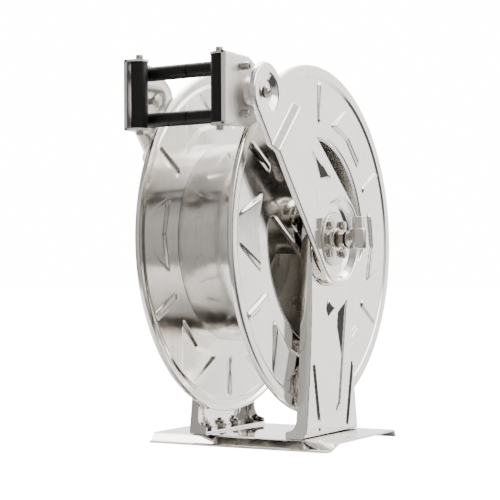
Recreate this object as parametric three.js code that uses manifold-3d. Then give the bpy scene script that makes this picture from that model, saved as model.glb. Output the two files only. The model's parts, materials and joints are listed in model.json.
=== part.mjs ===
// Stainless hose reel on two pressed pedestals: a spring-driven drum between two embossed
// flanges, an inlet swivel on the axle, and two pressed arms that carry a guide head with
// two upright and four level rollers.
//
// Millimetres. X runs along the axle (+X is the inlet side), -Y is the side where the hose
// leaves, +Z is up. The origin is on the floor, under the middle of the whole reel.

import * as THREE from 'three';
import { mergeVertices } from 'three/addons/utils/BufferGeometryUtils.js';
import Module from 'manifold-3d';

const wasm = await Module();
wasm.setup();

// ---------------------------------------------------------------- driving dimensions

const GAP = 0.3; // clearance between pieces that seat on each other
const AXLE_BACK = 9.6; // axle behind the middle of the whole reel

const BASE_LENGTH = 316; // along the axle
const BASE_FLAT = 196; // front bend to rear bend
const BASE_LIP = 24; // how far each sloped lip and its foot strip reach past the bend
const BASE_STRIP = 8; // flat strip of each lip that stands on the floor
const BASE_RISE = 14; // floor to the top face
const BASE_SHEET = 3;

const PEDESTAL_FACE = 100; // outer face of a pedestal from the middle of the axle
const PEDESTAL_DEPTH = 16; // side webs
const PEDESTAL_FOOT = 184; // width at the foot
const PEDESTAL_TOP_RADIUS = 66;
const PEDESTAL_SHEET = 3;
const FOOT_REACH = 40; // the foot turned in under the drum
const FLARE_HEIGHT = 30; // the side webs widen below this height
const FLARE_END = 9; // height of a web at the inner end of the foot
const FOOT_BOLT_PITCH = 43;
const FOOT_BOLTS = 4;
const FOOT_BOLT_INSET = 22; // bolt line from the inner end of the foot

const FLANGE_RADIUS = 265;
const FLOOR_CLEARANCE = 42; // floor to the flanges' rims
const AXLE_HEIGHT = FLANGE_RADIUS + FLOOR_CLEARANCE;
const FLANGE_PLANE = 75.5; // inner face of a flange from the middle of the axle
const FLANGE_SHEET = 2;
const RIM_BAND = 17; // raised band round the edge
const RIM_STEP = 2; // how far the band stands out
const RIM_BEAD = 4; // radius of the rolled edge
const DRUM_RADIUS = 155;
const DRUM_SHEET = 2;
const EYE_MARGIN = 5; // the drum reaches this far past the eye of the near flange
const EYE_RADIUS = DRUM_RADIUS - EYE_MARGIN;
const EYE_LIP = 3; // lip turned into the drum round that opening
const EMBOSS = 2.4; // height of the pressed ribs
const PATTERN_COUNT = 6; // ribs, and sloping panels between them
const PATTERN_TURN = -2.5; // degrees, how the reel stands
const RIB_INNER = 180;
const RIB_OUTER = 238;
const RIB_WIDTH = 12;
const DELTA_BASE = 184; // radius of the panels' inner corners
const DELTA_CREST = 188; // radius at which their inner edge bends
const DELTA_TIP = 243; // radius of their outer corners
const DELTA_SPREAD = 17.5; // degrees from a panel's middle to an inner corner
const DELTA_TIP_SPREAD = 4.5; // and to an outer corner
const DELTA_HEIGHT = 4.5; // at the inner edge; they slope down to the outer one

const SHAFT_RADIUS = 11;
const SHAFT_BORE = 7.5;
const BUSH_WALL = 1.7;
const HOUSING_WALL = 2.7;
const HOUSING_SPIGOT = 36; // radius on which an arm turns
const HOUSING_CLAMP = 41; // radius of the disc that holds the arm on
const STUD_SQUARE = 42; // spacing of the four hub bolts

const SPRING_CASE_RADIUS = 110;
const SPRING_CASE_DEPTH = 48;
const SPRING_TURNS = 6;
const SPRING_STRIP = 1.2;
const SPRING_WIDTH = 38;
const COVER_HUB = 12; // length of the cover's hub
const SPIDER_PLANE = 58; // outer face of the hub bar inside the drum
const SPIDER_DEPTH = 15;
const SPIDER_SHEET = 3;
const SPIDER_HALF_WIDTH = 29.5;
const SPIDER_REACH = 98; // axle to its round ends
const SPIDER_TURN = 48; // degrees from upright
const SPIDER_HUB = 20; // radius
const OUTLET_X = 10;
const OUTLET_TURN = 150; // degrees, where the outlet pipe meets the drum
const OUTLET_RADIUS = 9;
const OUTLET_WALL = 2;

const RATCHET_TEETH = 16;
const RATCHET_TIP = 58;
const RATCHET_ROOT = 48;
const TOOTH_FACE = 0.14; // shares of a tooth's pitch, counted from the engaged tip
const TOOTH_LAND = 0.1;
const TOOTH_BOTTOM = 0.15;
const TOOTH_LEAN = 0.04;
const RATCHET_THICKNESS = 4;
const PAWL_PIN_RADIUS = 4;
const PAWL_REACH = 45; // pin to tip
const PAWL_PIN_FROM_AXLE = 80;
const PAWL_PIN_TURN = 20; // degrees from straight down
const PAWL_CLEARANCE = 3; // tip to tooth tips at rest
const PAWL_DEPTH = 5; // how far the engaged tip reaches between the teeth

const ARM_FACE = 115.5; // outer face of an arm from the middle of the axle
const ARM_JOGGLE = 8; // the upper end lies this much further in
const ARM_SHEET = 3;
const ARM_EDGE = 7; // depth of the turned edge, sheet included
const RIM_TO_PIVOT = 23; // a flange's edge to the head pivot
const ARM_LENGTH = FLANGE_RADIUS + RIM_TO_PIVOT;
const ARM_TILT = 46; // degrees from upright, towards the front
const ARM_LOBE = 71;
const ARM_END = 42;
const RAMP_MIDDLE = 223; // pressed ramp of the joggle, from the axle
const RAMP_WIDTH = 20;
const HUB_DISH = 63; // radius of the dish round the axle
const HUB_DISH_FLOOR = 55;
const PIVOT_DISH = 27.5;
const PIVOT_DISH_DEPTH = 3;

const HEAD_HALF_WIDTH = 84; // outer face of a side plate
const HEAD_HEIGHT = 99.5;
const HEAD_SHEET = 3;
const HEAD_FRONT = 77; // pivot to front edge
const HEAD_SHOULDER = 11; // pivot to where the corners fall away
const HEAD_REAR = 49; // pivot to rear edge
const HEAD_REAR_RADIUS = 35;
const HEAD_LIP = 7;
const BOSS_RADIUS = 32;
const BOSS_HEIGHT = 3;
const WASHER_RADIUS = 31;
const WASHER_THICKNESS = 4;
const DISC_RADIUS = 33;

const UPRIGHT_ROLLER_RADIUS = 12;
const UPRIGHT_ROLLER_X = 65.5;
const UPRIGHT_ROLLER_Y = 62; // in front of the pivot
const LEVEL_ROLLER_RADIUS = 10.3;
const LEVEL_ROLLER_Y = 36;
const LEVEL_ROLLER_Z = 33; // above and below the pivot
const ROLLER_SEAM = 1;
const ROD_RADIUS = 3;

const STEM_RADIUS = 11;
const STEM_BORE = 7;
const ELBOW_X = 145; // upright branch of the inlet elbow
const ELBOW_RADIUS = 13;
const ELBOW_HALF_HEIGHT = 15;
const NECK_RADIUS = 10.48; // half of a G 1/2 thread
const NECK_TOP = 33;
const INLET_BORE = 8;

const M6_HEAD = 10; // across flats
const M6_HEIGHT = 6;
const M8_HEAD = 13;
const M8_HEIGHT = 5.5;
const M8_SHANK = 4; // radius
const M10_HEAD = 17;
const M10_HEIGHT = 6.5;
const M10_SHANK = 5;
const FACETS_RIM = 48;
const FACETS_DISC = 24;
const FACETS_ROUND = 16;
const FACETS_BOLT = 8;

// ---------------------------------------------------------------- materials

function finish(colour, roughness, metalness) {
  return new THREE.MeshStandardMaterial({ color: colour, roughness, metalness });
}

const polishedSteel = finish(0xd9d6d1, 0.12, 1);
const satinSteel = finish(0xc3bfba, 0.3, 1);
const zincSteel = finish(0xaaa6a0, 0.35, 1);
const springSteel = finish(0x5b5f66, 0.4, 1);
const blackNylon = finish(0x1b1a18, 0.5, 0);
const brass = finish(0x8d7a62, 0.35, 1);
const bronze = finish(0x9c7a4b, 0.45, 1);

// ---------------------------------------------------------------- joining and cutting

const toRadians = THREE.MathUtils.degToRad;
const AXLE = new THREE.Vector3(1, 0, 0);
const ALONG_X = new THREE.Matrix4().makeBasis(
  new THREE.Vector3(0, 1, 0), new THREE.Vector3(0, 0, 1), AXLE);
const ALONG_Y = new THREE.Matrix4().makeBasis(
  AXLE, new THREE.Vector3(0, 0, 1), new THREE.Vector3(0, -1, 0));

function signedVolume(position, index) {
  const a = new THREE.Vector3();
  const b = new THREE.Vector3();
  const c = new THREE.Vector3();
  let sum = 0;
  for (let i = 0; i < index.length; i += 3) {
    a.fromArray(position, 3 * index[i]);
    b.fromArray(position, 3 * index[i + 1]);
    c.fromArray(position, 3 * index[i + 2]);
    sum += a.dot(b.cross(c));
  }
  return sum;
}

// A closed three.js geometry as a solid, with its faces turned outwards.
function solid(geometry) {
  const bare = geometry.index ? geometry.toNonIndexed() : geometry.clone();
  bare.deleteAttribute('normal');
  bare.deleteAttribute('uv');
  const merged = mergeVertices(bare, 1e-4);
  const position = merged.attributes.position.array;
  const index = [];
  for (let i = 0; i < merged.index.count; i += 3) {
    const corner = [0, 1, 2].map((k) => merged.index.getX(i + k));
    if (new Set(corner).size === 3) index.push(...corner);
  }
  if (signedVolume(position, index) < 0) index.reverse();
  return new wasm.Manifold(new wasm.Mesh({
    numProp: 3,
    vertProperties: Float32Array.from(position),
    triVerts: Uint32Array.from(index),
  }));
}

function geometryOf(body) {
  const mesh = body.getMesh();
  const geometry = new THREE.BufferGeometry();
  geometry.setAttribute('position', new THREE.BufferAttribute(mesh.vertProperties, 3));
  geometry.setIndex(new THREE.BufferAttribute(mesh.triVerts, 1));
  geometry.computeVertexNormals();
  return geometry;
}

function joined(bodies) {
  return bodies.reduce((sum, body) => sum.add(body));
}

function cut(body, tools) {
  return tools.reduce((rest, tool) => rest.subtract(tool), body);
}

// The same piece for the other side of the reel.
function mirrored(geometry) {
  const other = geometry.clone().scale(-1, 1, 1);
  return geometryOf(solid(other));
}

// ---------------------------------------------------------------- forms

// An outline in Y and Z, drawn out along X from x0 to x1.
function alongX(shape, x0, x1, curveSegments = 8) {
  const geometry = new THREE.ExtrudeGeometry(shape, {
    depth: x1 - x0, bevelEnabled: false, curveSegments,
  });
  return solid(geometry.applyMatrix4(ALONG_X).translate(x0, 0, 0));
}

// An outline in X and Z, drawn out along Y from y0 to y1.
function alongY(shape, y0, y1, curveSegments = 8) {
  const geometry = new THREE.ExtrudeGeometry(shape, {
    depth: y1 - y0, bevelEnabled: false, curveSegments,
  });
  return solid(geometry.applyMatrix4(ALONG_Y).translate(0, y1, 0));
}

// A closed profile of [x, radius] pairs turned about the X axis.
function turned(profile, facets = FACETS_DISC) {
  const points = profile.map(([x, radius]) => new THREE.Vector2(radius, x));
  points.push(points[0].clone());
  return solid(new THREE.LatheGeometry(points, facets).rotateZ(-Math.PI / 2));
}

// Radius of a faceted hole that clears a shaft of a radius all round.
function boreFor(radius, facets = FACETS_BOLT) {
  return (radius + GAP) / Math.cos(Math.PI / facets);
}

function tubeX(outer, inner, x0, x1, facets = FACETS_ROUND) {
  return turned([[x0, inner], [x1, inner], [x1, outer], [x0, outer]], facets);
}

function rodX(radius, x0, x1, y = 0, z = 0, facets = FACETS_BOLT) {
  const rod = new THREE.CylinderGeometry(radius, radius, x1 - x0, facets);
  return solid(rod.rotateZ(-Math.PI / 2).translate((x0 + x1) / 2, y, z));
}

function rodZ(radius, z0, z1, x = 0, y = 0, facets = FACETS_BOLT) {
  const rod = new THREE.CylinderGeometry(radius, radius, z1 - z0, facets);
  return solid(rod.rotateX(Math.PI / 2).translate(x, y, (z0 + z1) / 2));
}

function hexX(acrossFlats, x0, x1, y = 0, z = 0) {
  return rodX(acrossFlats / Math.sqrt(3), x0, x1, y, z, 6);
}

function hexZ(acrossFlats, z0, z1, x = 0, y = 0) {
  return rodZ(acrossFlats / Math.sqrt(3), z0, z1, x, y, 6);
}

function box(x0, x1, y0, y1, z0, z1) {
  const block = new THREE.BoxGeometry(x1 - x0, y1 - y0, z1 - z0);
  return solid(block.translate((x0 + x1) / 2, (y0 + y1) / 2, (z0 + z1) / 2));
}

function polygon(points) {
  return new THREE.Shape(points.map(([u, v]) => new THREE.Vector2(u, v)));
}

// The corners of a polygon rounded by fillets of at most one radius.
function rounded(points, radius, segments = 1) {
  const outline = [];
  points.forEach((corner, i) => {
    const before = points[(i + points.length - 1) % points.length];
    const after = points[(i + 1) % points.length];
    const reach = (other) => Math.min(radius, 0.45 * corner.distanceTo(other));
    const towards = (other) => other.clone().sub(corner).setLength(reach(other)).add(corner);
    const fillet = new THREE.QuadraticBezierCurve(towards(before), corner, towards(after));
    outline.push(...fillet.getPoints(segments));
  });
  return outline;
}

function corners(points) {
  return points.map(([u, v]) => new THREE.Vector2(u, v));
}

// Every edge of a polygon moved inwards by a distance.
function inset(points, distance) {
  const inwards = THREE.ShapeUtils.area(points) > 0 ? 1 : -1;
  const edges = points.map((start, i) => {
    const along = points[(i + 1) % points.length].clone().sub(start).normalize();
    const normal = new THREE.Vector2(-along.y, along.x).multiplyScalar(inwards * distance);
    return { start: start.clone().add(normal), along };
  });
  return edges.map((edge, i) => {
    const before = edges[(i + edges.length - 1) % edges.length];
    const between = edge.start.clone().sub(before.start);
    const reach = between.cross(edge.along) / before.along.cross(edge.along);
    return before.start.clone().addScaledVector(before.along, reach);
  });
}

// A solid between an outline at x0 and one of as many points at x1, which can be a number or
// give each point its own.
function loft(lower, upper, x0, x1) {
  const count = lower.length;
  const top = typeof x1 === 'number' ? () => x1 : x1;
  const positions = [
    ...lower.map((p) => [x0, p.x, p.y]), ...upper.map((p) => [top(p), p.x, p.y]),
  ];
  const lids = THREE.ShapeUtils.triangulateShape(lower, []);
  const firstLid = THREE.ShapeUtils.area(lids[0].map((k) => lower[k]));
  const sameWay = firstLid * THREE.ShapeUtils.area(lower) > 0;
  const index = [];
  for (let i = 0; i < count; i += 1) {
    const next = (i + 1) % count;
    index.push(i, next, count + next, i, count + next, count + i);
  }
  for (const lid of lids) {
    const [a, b, c] = sameWay ? lid : [...lid].reverse();
    index.push(c, b, a, count + a, count + b, count + c);
  }
  const geometry = new THREE.BufferGeometry();
  geometry.setAttribute('position', new THREE.Float32BufferAttribute(positions.flat(), 3));
  geometry.setIndex(index);
  return solid(geometry);
}

// Two circles on the Z axis and the straight edges that touch both.
function taperedOutline(radiusLow, radiusHigh, length, margin = 0) {
  const low = radiusLow - margin;
  const high = radiusHigh - margin;
  const lean = Math.asin((low - high) / length);
  const shape = new THREE.Shape();
  shape.absarc(0, length, high, lean, Math.PI - lean, false);
  shape.absarc(0, 0, low, Math.PI - lean, 2 * Math.PI + lean, false);
  shape.closePath();
  return shape;
}

// A pressed rib on a sheet whose outer face is at x: what it adds outside and what it
// takes away inside, so that the sheet keeps its thickness.
function pressing(mark, x, sheet, height) {
  const outline = (distance) => rounded(inset(mark.points, distance), mark.radius);
  const slope = mark.slope ?? 0.8 * height;
  const wall = 0.4 * sheet;
  const rise = mark.rise ?? (() => height);
  return {
    raised: loft(outline(0), outline(slope), x - 0.4, (p) => x + rise(p)),
    hollow: loft(outline(wall), outline(wall + slope), x - sheet - 0.5,
      (p) => x - sheet + rise(p)),
  };
}

function pressed(body, marks, x, sheet, height) {
  const ribs = marks.map((mark) => pressing(mark, x, sheet, height));
  const raised = joined([body, ...ribs.map((rib) => rib.raised)]);
  return cut(raised, ribs.map((rib) => rib.hollow));
}

// A point at a radius and an angle from straight up, counted towards the front.
function polar(radius, degrees) {
  const angle = THREE.MathUtils.degToRad(degrees);
  return [-radius * Math.sin(angle), radius * Math.cos(angle)];
}

const model = new THREE.Group();
const axle = new THREE.Group();
axle.position.z = AXLE_HEIGHT;
model.add(axle);
model.position.y = AXLE_BACK;

function add(parent, name, body, material) {
  const geometry = body.isBufferGeometry ? body : geometryOf(body);
  const mesh = new THREE.Mesh(geometry, material);
  mesh.name = name;
  parent.add(mesh);
  return mesh;
}

// ---------------------------------------------------------------- base plate

const FOOT_BOTTOM = BASE_RISE + GAP - AXLE_HEIGHT; // in the axle's group
const FOOT_BOLT_LINE = PEDESTAL_FACE - FOOT_REACH + FOOT_BOLT_INSET;

function footBoltPlaces() {
  const first = -FOOT_BOLT_PITCH * (FOOT_BOLTS - 1) / 2;
  return Array.from({ length: FOOT_BOLTS }, (_, i) => first + i * FOOT_BOLT_PITCH);
}

function basePlate() {
  const bend = BASE_FLAT / 2;
  const edge = bend + BASE_LIP;
  const heel = edge - BASE_STRIP;
  const half = [
    [bend, BASE_RISE], [heel + 1, BASE_SHEET], [edge, BASE_SHEET], [edge, 0],
    [heel, 0], [bend - 1, BASE_RISE - BASE_SHEET],
  ];
  const other = half.map(([y, z]) => [-y, z]).reverse();
  const section = alongX(polygon([...half, ...other]), -BASE_LENGTH / 2, BASE_LENGTH / 2);
  const plan = polygon([
    [-BASE_LENGTH / 2, -bend], [-BASE_LENGTH / 2 + BASE_STRIP, -edge - 1],
    [BASE_LENGTH / 2 - BASE_STRIP, -edge - 1], [BASE_LENGTH / 2, -bend],
    [BASE_LENGTH / 2, bend], [BASE_LENGTH / 2 - BASE_STRIP, edge + 1],
    [-BASE_LENGTH / 2 + BASE_STRIP, edge + 1], [-BASE_LENGTH / 2, bend],
  ]);
  const prism = solid(new THREE.ExtrudeGeometry(plan, {
    depth: BASE_RISE + 2, bevelEnabled: false,
  }).translate(0, 0, -1));
  const holes = [-1, 1].flatMap((side) => footBoltPlaces().map((y) =>
    rodZ(M8_SHANK + GAP, -1, BASE_RISE + 1, side * FOOT_BOLT_LINE, y)));
  return cut(section.intersect(prism), holes);
}

add(model, 'base_plate', basePlate(), polishedSteel);

// ---------------------------------------------------------------- pedestals

// Straight edges from the foot that touch the round top.
function pedestalOutline(halfFoot, topRadius, bottom) {
  const distance = Math.hypot(halfFoot, bottom);
  const side = Math.atan2(bottom, halfFoot) + Math.acos(topRadius / distance);
  const shape = new THREE.Shape();
  shape.moveTo(-halfFoot, bottom);
  shape.lineTo(halfFoot, bottom);
  shape.absarc(0, 0, topRadius, side, Math.PI - side, false);
  shape.closePath();
  return shape;
}

function pedestalDepthProfile() {
  const inner = PEDESTAL_FACE - FOOT_REACH;
  const web = PEDESTAL_FACE - PEDESTAL_DEPTH;
  const shape = new THREE.Shape();
  shape.moveTo(inner, FOOT_BOTTOM);
  shape.lineTo(PEDESTAL_FACE, FOOT_BOTTOM);
  shape.lineTo(PEDESTAL_FACE, PEDESTAL_TOP_RADIUS + 1);
  shape.lineTo(web, PEDESTAL_TOP_RADIUS + 1);
  shape.lineTo(web, FOOT_BOTTOM + FLARE_HEIGHT);
  shape.quadraticCurveTo(web, FOOT_BOTTOM + FLARE_END, inner, FOOT_BOTTOM + FLARE_END);
  shape.closePath();
  return shape;
}

// Ribs pressed into a pedestal: a long slanted channel, a diamond and two slim spears.
function pedestalRibs() {
  const channel = [[21, -111], [52, -91], [47, -118], [25, -248], [12, -260], [0, -248]];
  const diamond = [[-25, -103], [-11, -90], [4, -103], [-11, -115]];
  const frontSpear = [[-67, -184], [-57, -186], [-38, -284], [-49, -285]];
  const rearSpear = [[75, -184], [65, -186], [43, -284], [54, -285]];
  return [
    { points: corners(channel), radius: 9 }, { points: corners(diamond), radius: 3 },
    { points: corners(frontSpear), radius: 3 }, { points: corners(rearSpear), radius: 3 },
  ];
}

function studPlaces() {
  const half = STUD_SQUARE / 2;
  return [
    ['top_front', -half, half], ['top_rear', half, half],
    ['low_front', -half, -half], ['low_rear', half, -half],
  ];
}

const SLEEVE_RADIUS = SHAFT_RADIUS + GAP + BUSH_WALL + GAP + HOUSING_WALL;

function pedestal() {
  const foot = PEDESTAL_FOOT / 2;
  const inner = PEDESTAL_FACE - FOOT_REACH;
  const outside = alongX(pedestalOutline(foot, PEDESTAL_TOP_RADIUS, FOOT_BOTTOM),
    inner, PEDESTAL_FACE, 10);
  const inside = alongX(pedestalOutline(foot - PEDESTAL_SHEET,
    PEDESTAL_TOP_RADIUS - PEDESTAL_SHEET, FOOT_BOTTOM + PEDESTAL_SHEET),
    inner - 1, PEDESTAL_FACE - PEDESTAL_SHEET, 10);
  const reach = alongY(pedestalDepthProfile(), -foot - 1, foot + 1);
  const pan = outside.subtract(inside).intersect(reach);
  const ribbed = pressed(pan, pedestalRibs(), PEDESTAL_FACE, PEDESTAL_SHEET, EMBOSS);
  const x0 = PEDESTAL_FACE - PEDESTAL_SHEET - 1;
  const x1 = PEDESTAL_FACE + 1;
  const holes = studPlaces().map(([, y, z]) => rodX(M8_SHANK + GAP, x0, x1, y, z));
  const bolts = footBoltPlaces().map((y) => rodZ(M8_SHANK + GAP, FOOT_BOTTOM - 1,
    FOOT_BOTTOM + PEDESTAL_SHEET + 1, FOOT_BOLT_LINE, y));
  return cut(ribbed, [
    rodX(SLEEVE_RADIUS + GAP, x0, x1, 0, 0, FACETS_ROUND), ...holes, ...bolts,
  ]);
}

const pedestalGeometry = geometryOf(pedestal());
add(axle, 'near_pedestal', pedestalGeometry, polishedSteel);
add(axle, 'far_pedestal', mirrored(pedestalGeometry), polishedSteel);

// A bolt from below through base and foot, with its nut and thread end on top.
function footBolt() {
  const under = BASE_RISE - BASE_SHEET - GAP;
  const over = BASE_RISE + GAP + PEDESTAL_SHEET + GAP;
  return joined([
    hexZ(M8_HEAD, under - M8_HEIGHT, under),
    rodZ(M8_SHANK, under - 1, over + M8_HEIGHT + 4),
    hexZ(M8_HEAD, over, over + M8_HEIGHT + 1),
  ]);
}

const footBoltGeometry = geometryOf(footBolt());
for (const [label, side] of [['near', 1], ['far', -1]]) {
  footBoltPlaces().forEach((y, i) => {
    const bolt = add(model, `${label}_foot_bolt_${i + 1}`, footBoltGeometry, zincSteel);
    bolt.position.set(side * FOOT_BOLT_LINE, y, 0);
  });
}

// ---------------------------------------------------------------- bearing housings

const ARM_FLOOR_INNER = PEDESTAL_FACE + 0.5; // inner face of an arm's hub dish
const ARM_FLOOR_OUTER = ARM_FLOOR_INNER + ARM_SHEET;
const CLAMP_INNER = ARM_FLOOR_OUTER + GAP;
const CLAMP_OUTER = CLAMP_INNER + 3.5;
const SLEEVE_INNER_END = PEDESTAL_FACE - 12;
const SLEEVE_OUTER_END = CLAMP_OUTER + 4.5;
const HOUSING_BORE = SHAFT_RADIUS + GAP + BUSH_WALL + GAP;
const CASE_BACK = FLANGE_PLANE - GAP; // the spring case starts at the far flange
const COVER_PLANE = CASE_BACK - SPRING_CASE_DEPTH;
const ARBOR_END = COVER_PLANE + 3;

// Clamp disc, spigot and sleeve. The far one runs on inwards as the spring's fixed arbor.
function bearingHousing(innerEnd) {
  const profile = [
    [innerEnd, HOUSING_BORE], [SLEEVE_OUTER_END, HOUSING_BORE],
    [SLEEVE_OUTER_END, SLEEVE_RADIUS + 1], [CLAMP_OUTER, SLEEVE_RADIUS + 1],
    [CLAMP_OUTER, HOUSING_CLAMP - 1], [CLAMP_OUTER - 1, HOUSING_CLAMP],
    [CLAMP_INNER, HOUSING_CLAMP], [CLAMP_INNER, HOUSING_SPIGOT],
    [PEDESTAL_FACE + GAP, HOUSING_SPIGOT], [PEDESTAL_FACE + GAP, SLEEVE_RADIUS],
    [innerEnd, SLEEVE_RADIUS],
  ];
  const holes = studPlaces().map(([, y, z]) => rodX(M8_SHANK + GAP, PEDESTAL_FACE - 1,
    CLAMP_OUTER + 1, y, z));
  return cut(turned(profile), holes);
}

add(axle, 'near_bearing_housing', bearingHousing(SLEEVE_INNER_END), satinSteel);
add(axle, 'far_bearing_housing', mirrored(geometryOf(bearingHousing(ARBOR_END))), satinSteel);

const bushGeometry = geometryOf(tubeX(SHAFT_RADIUS + GAP + BUSH_WALL, SHAFT_RADIUS + GAP,
  SLEEVE_INNER_END, SLEEVE_OUTER_END));
add(axle, 'near_bush', bushGeometry, bronze);
add(axle, 'far_bush', mirrored(bushGeometry), bronze);

// Bolt head outside the clamp disc, nut inside the pedestal.
function hubBolt() {
  const head = CLAMP_OUTER + GAP;
  const nut = PEDESTAL_FACE - PEDESTAL_SHEET - GAP;
  return joined([
    hexX(M8_HEAD, head, head + M8_HEIGHT),
    rodX(M8_SHANK, nut - M8_HEIGHT - 2, head + 1),
    hexX(M8_HEAD, nut - M8_HEIGHT, nut),
  ]);
}

const hubBoltGeometry = geometryOf(hubBolt());
const farHubBoltGeometry = mirrored(hubBoltGeometry);
for (const [place, y, z] of studPlaces()) {
  add(axle, `near_hub_bolt_${place}`, hubBoltGeometry, zincSteel).position.set(0, y, z);
  add(axle, `far_hub_bolt_${place}`, farHubBoltGeometry, zincSteel).position.set(0, y, z);
}

// ---------------------------------------------------------------- the reel

// Section of a flange from its inner radius to the rolled edge.
function flangeSection(innerRadius, lip) {
  const x0 = FLANGE_PLANE;
  const x1 = FLANGE_PLANE + FLANGE_SHEET;
  const step = FLANGE_RADIUS - RIM_BAND;
  const beadMiddle = FLANGE_RADIUS - RIM_BEAD;
  const beadX = x1 + RIM_STEP - RIM_BEAD;
  const profile = [];
  if (lip > 0) {
    profile.push([x0 - lip, innerRadius], [x1, innerRadius]);
  } else {
    profile.push([x0, innerRadius], [x1, innerRadius]);
  }
  profile.push([x1, step - 4], [x1 + RIM_STEP, step], [x1 + RIM_STEP, beadMiddle]);
  for (let turn = 30; turn <= 210; turn += 60) {
    const angle = THREE.MathUtils.degToRad(turn);
    profile.push([beadX + RIM_BEAD * Math.cos(angle), beadMiddle + RIM_BEAD * Math.sin(angle)]);
  }
  profile.push([x0 + RIM_STEP, beadMiddle - RIM_BEAD], [x0 + RIM_STEP, step + 1]);
  profile.push([x0, step - 4]);
  if (lip > 0) {
    profile.push([x0, innerRadius + FLANGE_SHEET], [x0 - lip, innerRadius + FLANGE_SHEET]);
  }
  return profile;
}

function turnedPoints(points, degrees) {
  const middle = new THREE.Vector2();
  const angle = THREE.MathUtils.degToRad(degrees);
  return corners(points).map((point) => point.rotateAround(middle, angle));
}

function radialRib(degrees) {
  const half = RIB_WIDTH / 2;
  const bar = [[-half, RIB_INNER], [half, RIB_INNER], [half, RIB_OUTER], [-half, RIB_OUTER]];
  return { points: turnedPoints(bar, degrees), radius: half };
}

// A panel that is highest at its inner edge and slopes down outwards.
function deltaPanel(degrees) {
  const points = corners([
    polar(DELTA_BASE, degrees - DELTA_SPREAD), polar(DELTA_TIP, degrees - DELTA_TIP_SPREAD),
    polar(DELTA_TIP, degrees + DELTA_TIP_SPREAD), polar(DELTA_BASE, degrees + DELTA_SPREAD),
    polar(DELTA_CREST, degrees),
  ]);
  const outwards = new THREE.Vector2(...polar(1, degrees));
  const length = DELTA_TIP - DELTA_BASE * Math.cos(toRadians(DELTA_SPREAD));
  const rise = (p) => DELTA_HEIGHT * Math.min(1, (DELTA_TIP - p.dot(outwards)) / length) + 0.2;
  return { points, radius: 3, slope: DELTA_HEIGHT, rise };
}

function flange(innerRadius, lip) {
  const disc = turned(flangeSection(innerRadius, lip), FACETS_RIM);
  const marks = [];
  for (let i = 0; i < PATTERN_COUNT; i += 1) {
    const degrees = PATTERN_TURN + i * 360 / PATTERN_COUNT;
    marks.push(radialRib(degrees));
    marks.push(deltaPanel(degrees + 180 / PATTERN_COUNT));
  }
  return pressed(disc, marks, FLANGE_PLANE + FLANGE_SHEET, FLANGE_SHEET, EMBOSS);
}

const reel = new THREE.Group();
axle.add(reel);

add(reel, 'near_flange', flange(EYE_RADIUS, EYE_LIP), polishedSteel);
add(reel, 'far_flange', mirrored(geometryOf(flange(SLEEVE_RADIUS + 2, 0))), polishedSteel);

const DRUM_INNER = DRUM_RADIUS - DRUM_SHEET;

function outletHole() {
  const [y, z] = polar(DRUM_RADIUS, OUTLET_TURN);
  const tool = new THREE.CylinderGeometry(OUTLET_RADIUS + 1, OUTLET_RADIUS + 1, 30, FACETS_BOLT);
  tool.rotateX(Math.PI / 2).rotateX(THREE.MathUtils.degToRad(OUTLET_TURN));
  return solid(tool.translate(OUTLET_X, y, z));
}

const drum = tubeX(DRUM_RADIUS, DRUM_INNER, -FLANGE_PLANE + GAP, FLANGE_PLANE - GAP, FACETS_RIM);
add(reel, 'drum_shell', drum.subtract(outletHole()), satinSteel);

// A pressed bar with round ends and turned-back edges, on a hub that reaches back to the
// outlet pipe.
function hubSpider() {
  const back = SPIDER_PLANE - SPIDER_DEPTH;
  const bar = (margin, x0, x1) => {
    const middle = SPIDER_REACH - SPIDER_HALF_WIDTH;
    const radius = SPIDER_HALF_WIDTH - margin;
    const shape = new THREE.Shape();
    shape.absarc(0, middle, radius, 0, Math.PI, false);
    shape.absarc(0, -middle, radius, Math.PI, 2 * Math.PI, false);
    shape.closePath();
    return alongX(shape, x0, x1, 10).rotate([SPIDER_TURN, 0, 0]);
  };
  const pocket = bar(SPIDER_SHEET, back - 1, SPIDER_PLANE - SPIDER_SHEET);
  const shell = bar(0, back, SPIDER_PLANE).subtract(pocket);
  const hub = rodX(SPIDER_HUB, OUTLET_X + OUTLET_RADIUS + 2, SPIDER_PLANE + 4, 0, 0,
    FACETS_ROUND);
  const bore = rodX(SHAFT_RADIUS + GAP, -SPIDER_REACH, SPIDER_REACH, 0, 0, FACETS_ROUND);
  return shell.add(hub).subtract(bore);
}

add(reel, 'hub_spider', hubSpider(), satinSteel);

// Cup that holds the mainspring against the far flange, and its cover.
function springCase() {
  const wall = 2;
  const lip = 10;
  return turned([
    [-CASE_BACK, SPRING_CASE_RADIUS - wall], [-COVER_PLANE, SPRING_CASE_RADIUS - wall],
    [-COVER_PLANE, SPRING_CASE_RADIUS], [-CASE_BACK + wall, SPRING_CASE_RADIUS],
    [-CASE_BACK + wall, SPRING_CASE_RADIUS + lip], [-CASE_BACK, SPRING_CASE_RADIUS + lip],
  ]);
}

function springCover() {
  const x0 = -COVER_PLANE + GAP;
  const hub = SHAFT_RADIUS + GAP;
  const sheet = 2;
  const dome = 2.5;
  const shoulder = SPRING_CASE_RADIUS - 40;
  return turned([
    [x0 + dome, hub], [x0 + COVER_HUB, hub], [x0 + COVER_HUB, hub + 8],
    [x0 + dome + sheet, hub + 11], [x0 + dome + sheet, shoulder - 10], [x0 + sheet, shoulder],
    [x0 + sheet, SPRING_CASE_RADIUS], [x0, SPRING_CASE_RADIUS], [x0, shoulder],
    [x0 + dome, shoulder - 10],
  ]);
}

add(reel, 'spring_case', springCase(), satinSteel);
add(reel, 'spring_cover', springCover(), satinSteel);

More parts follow.
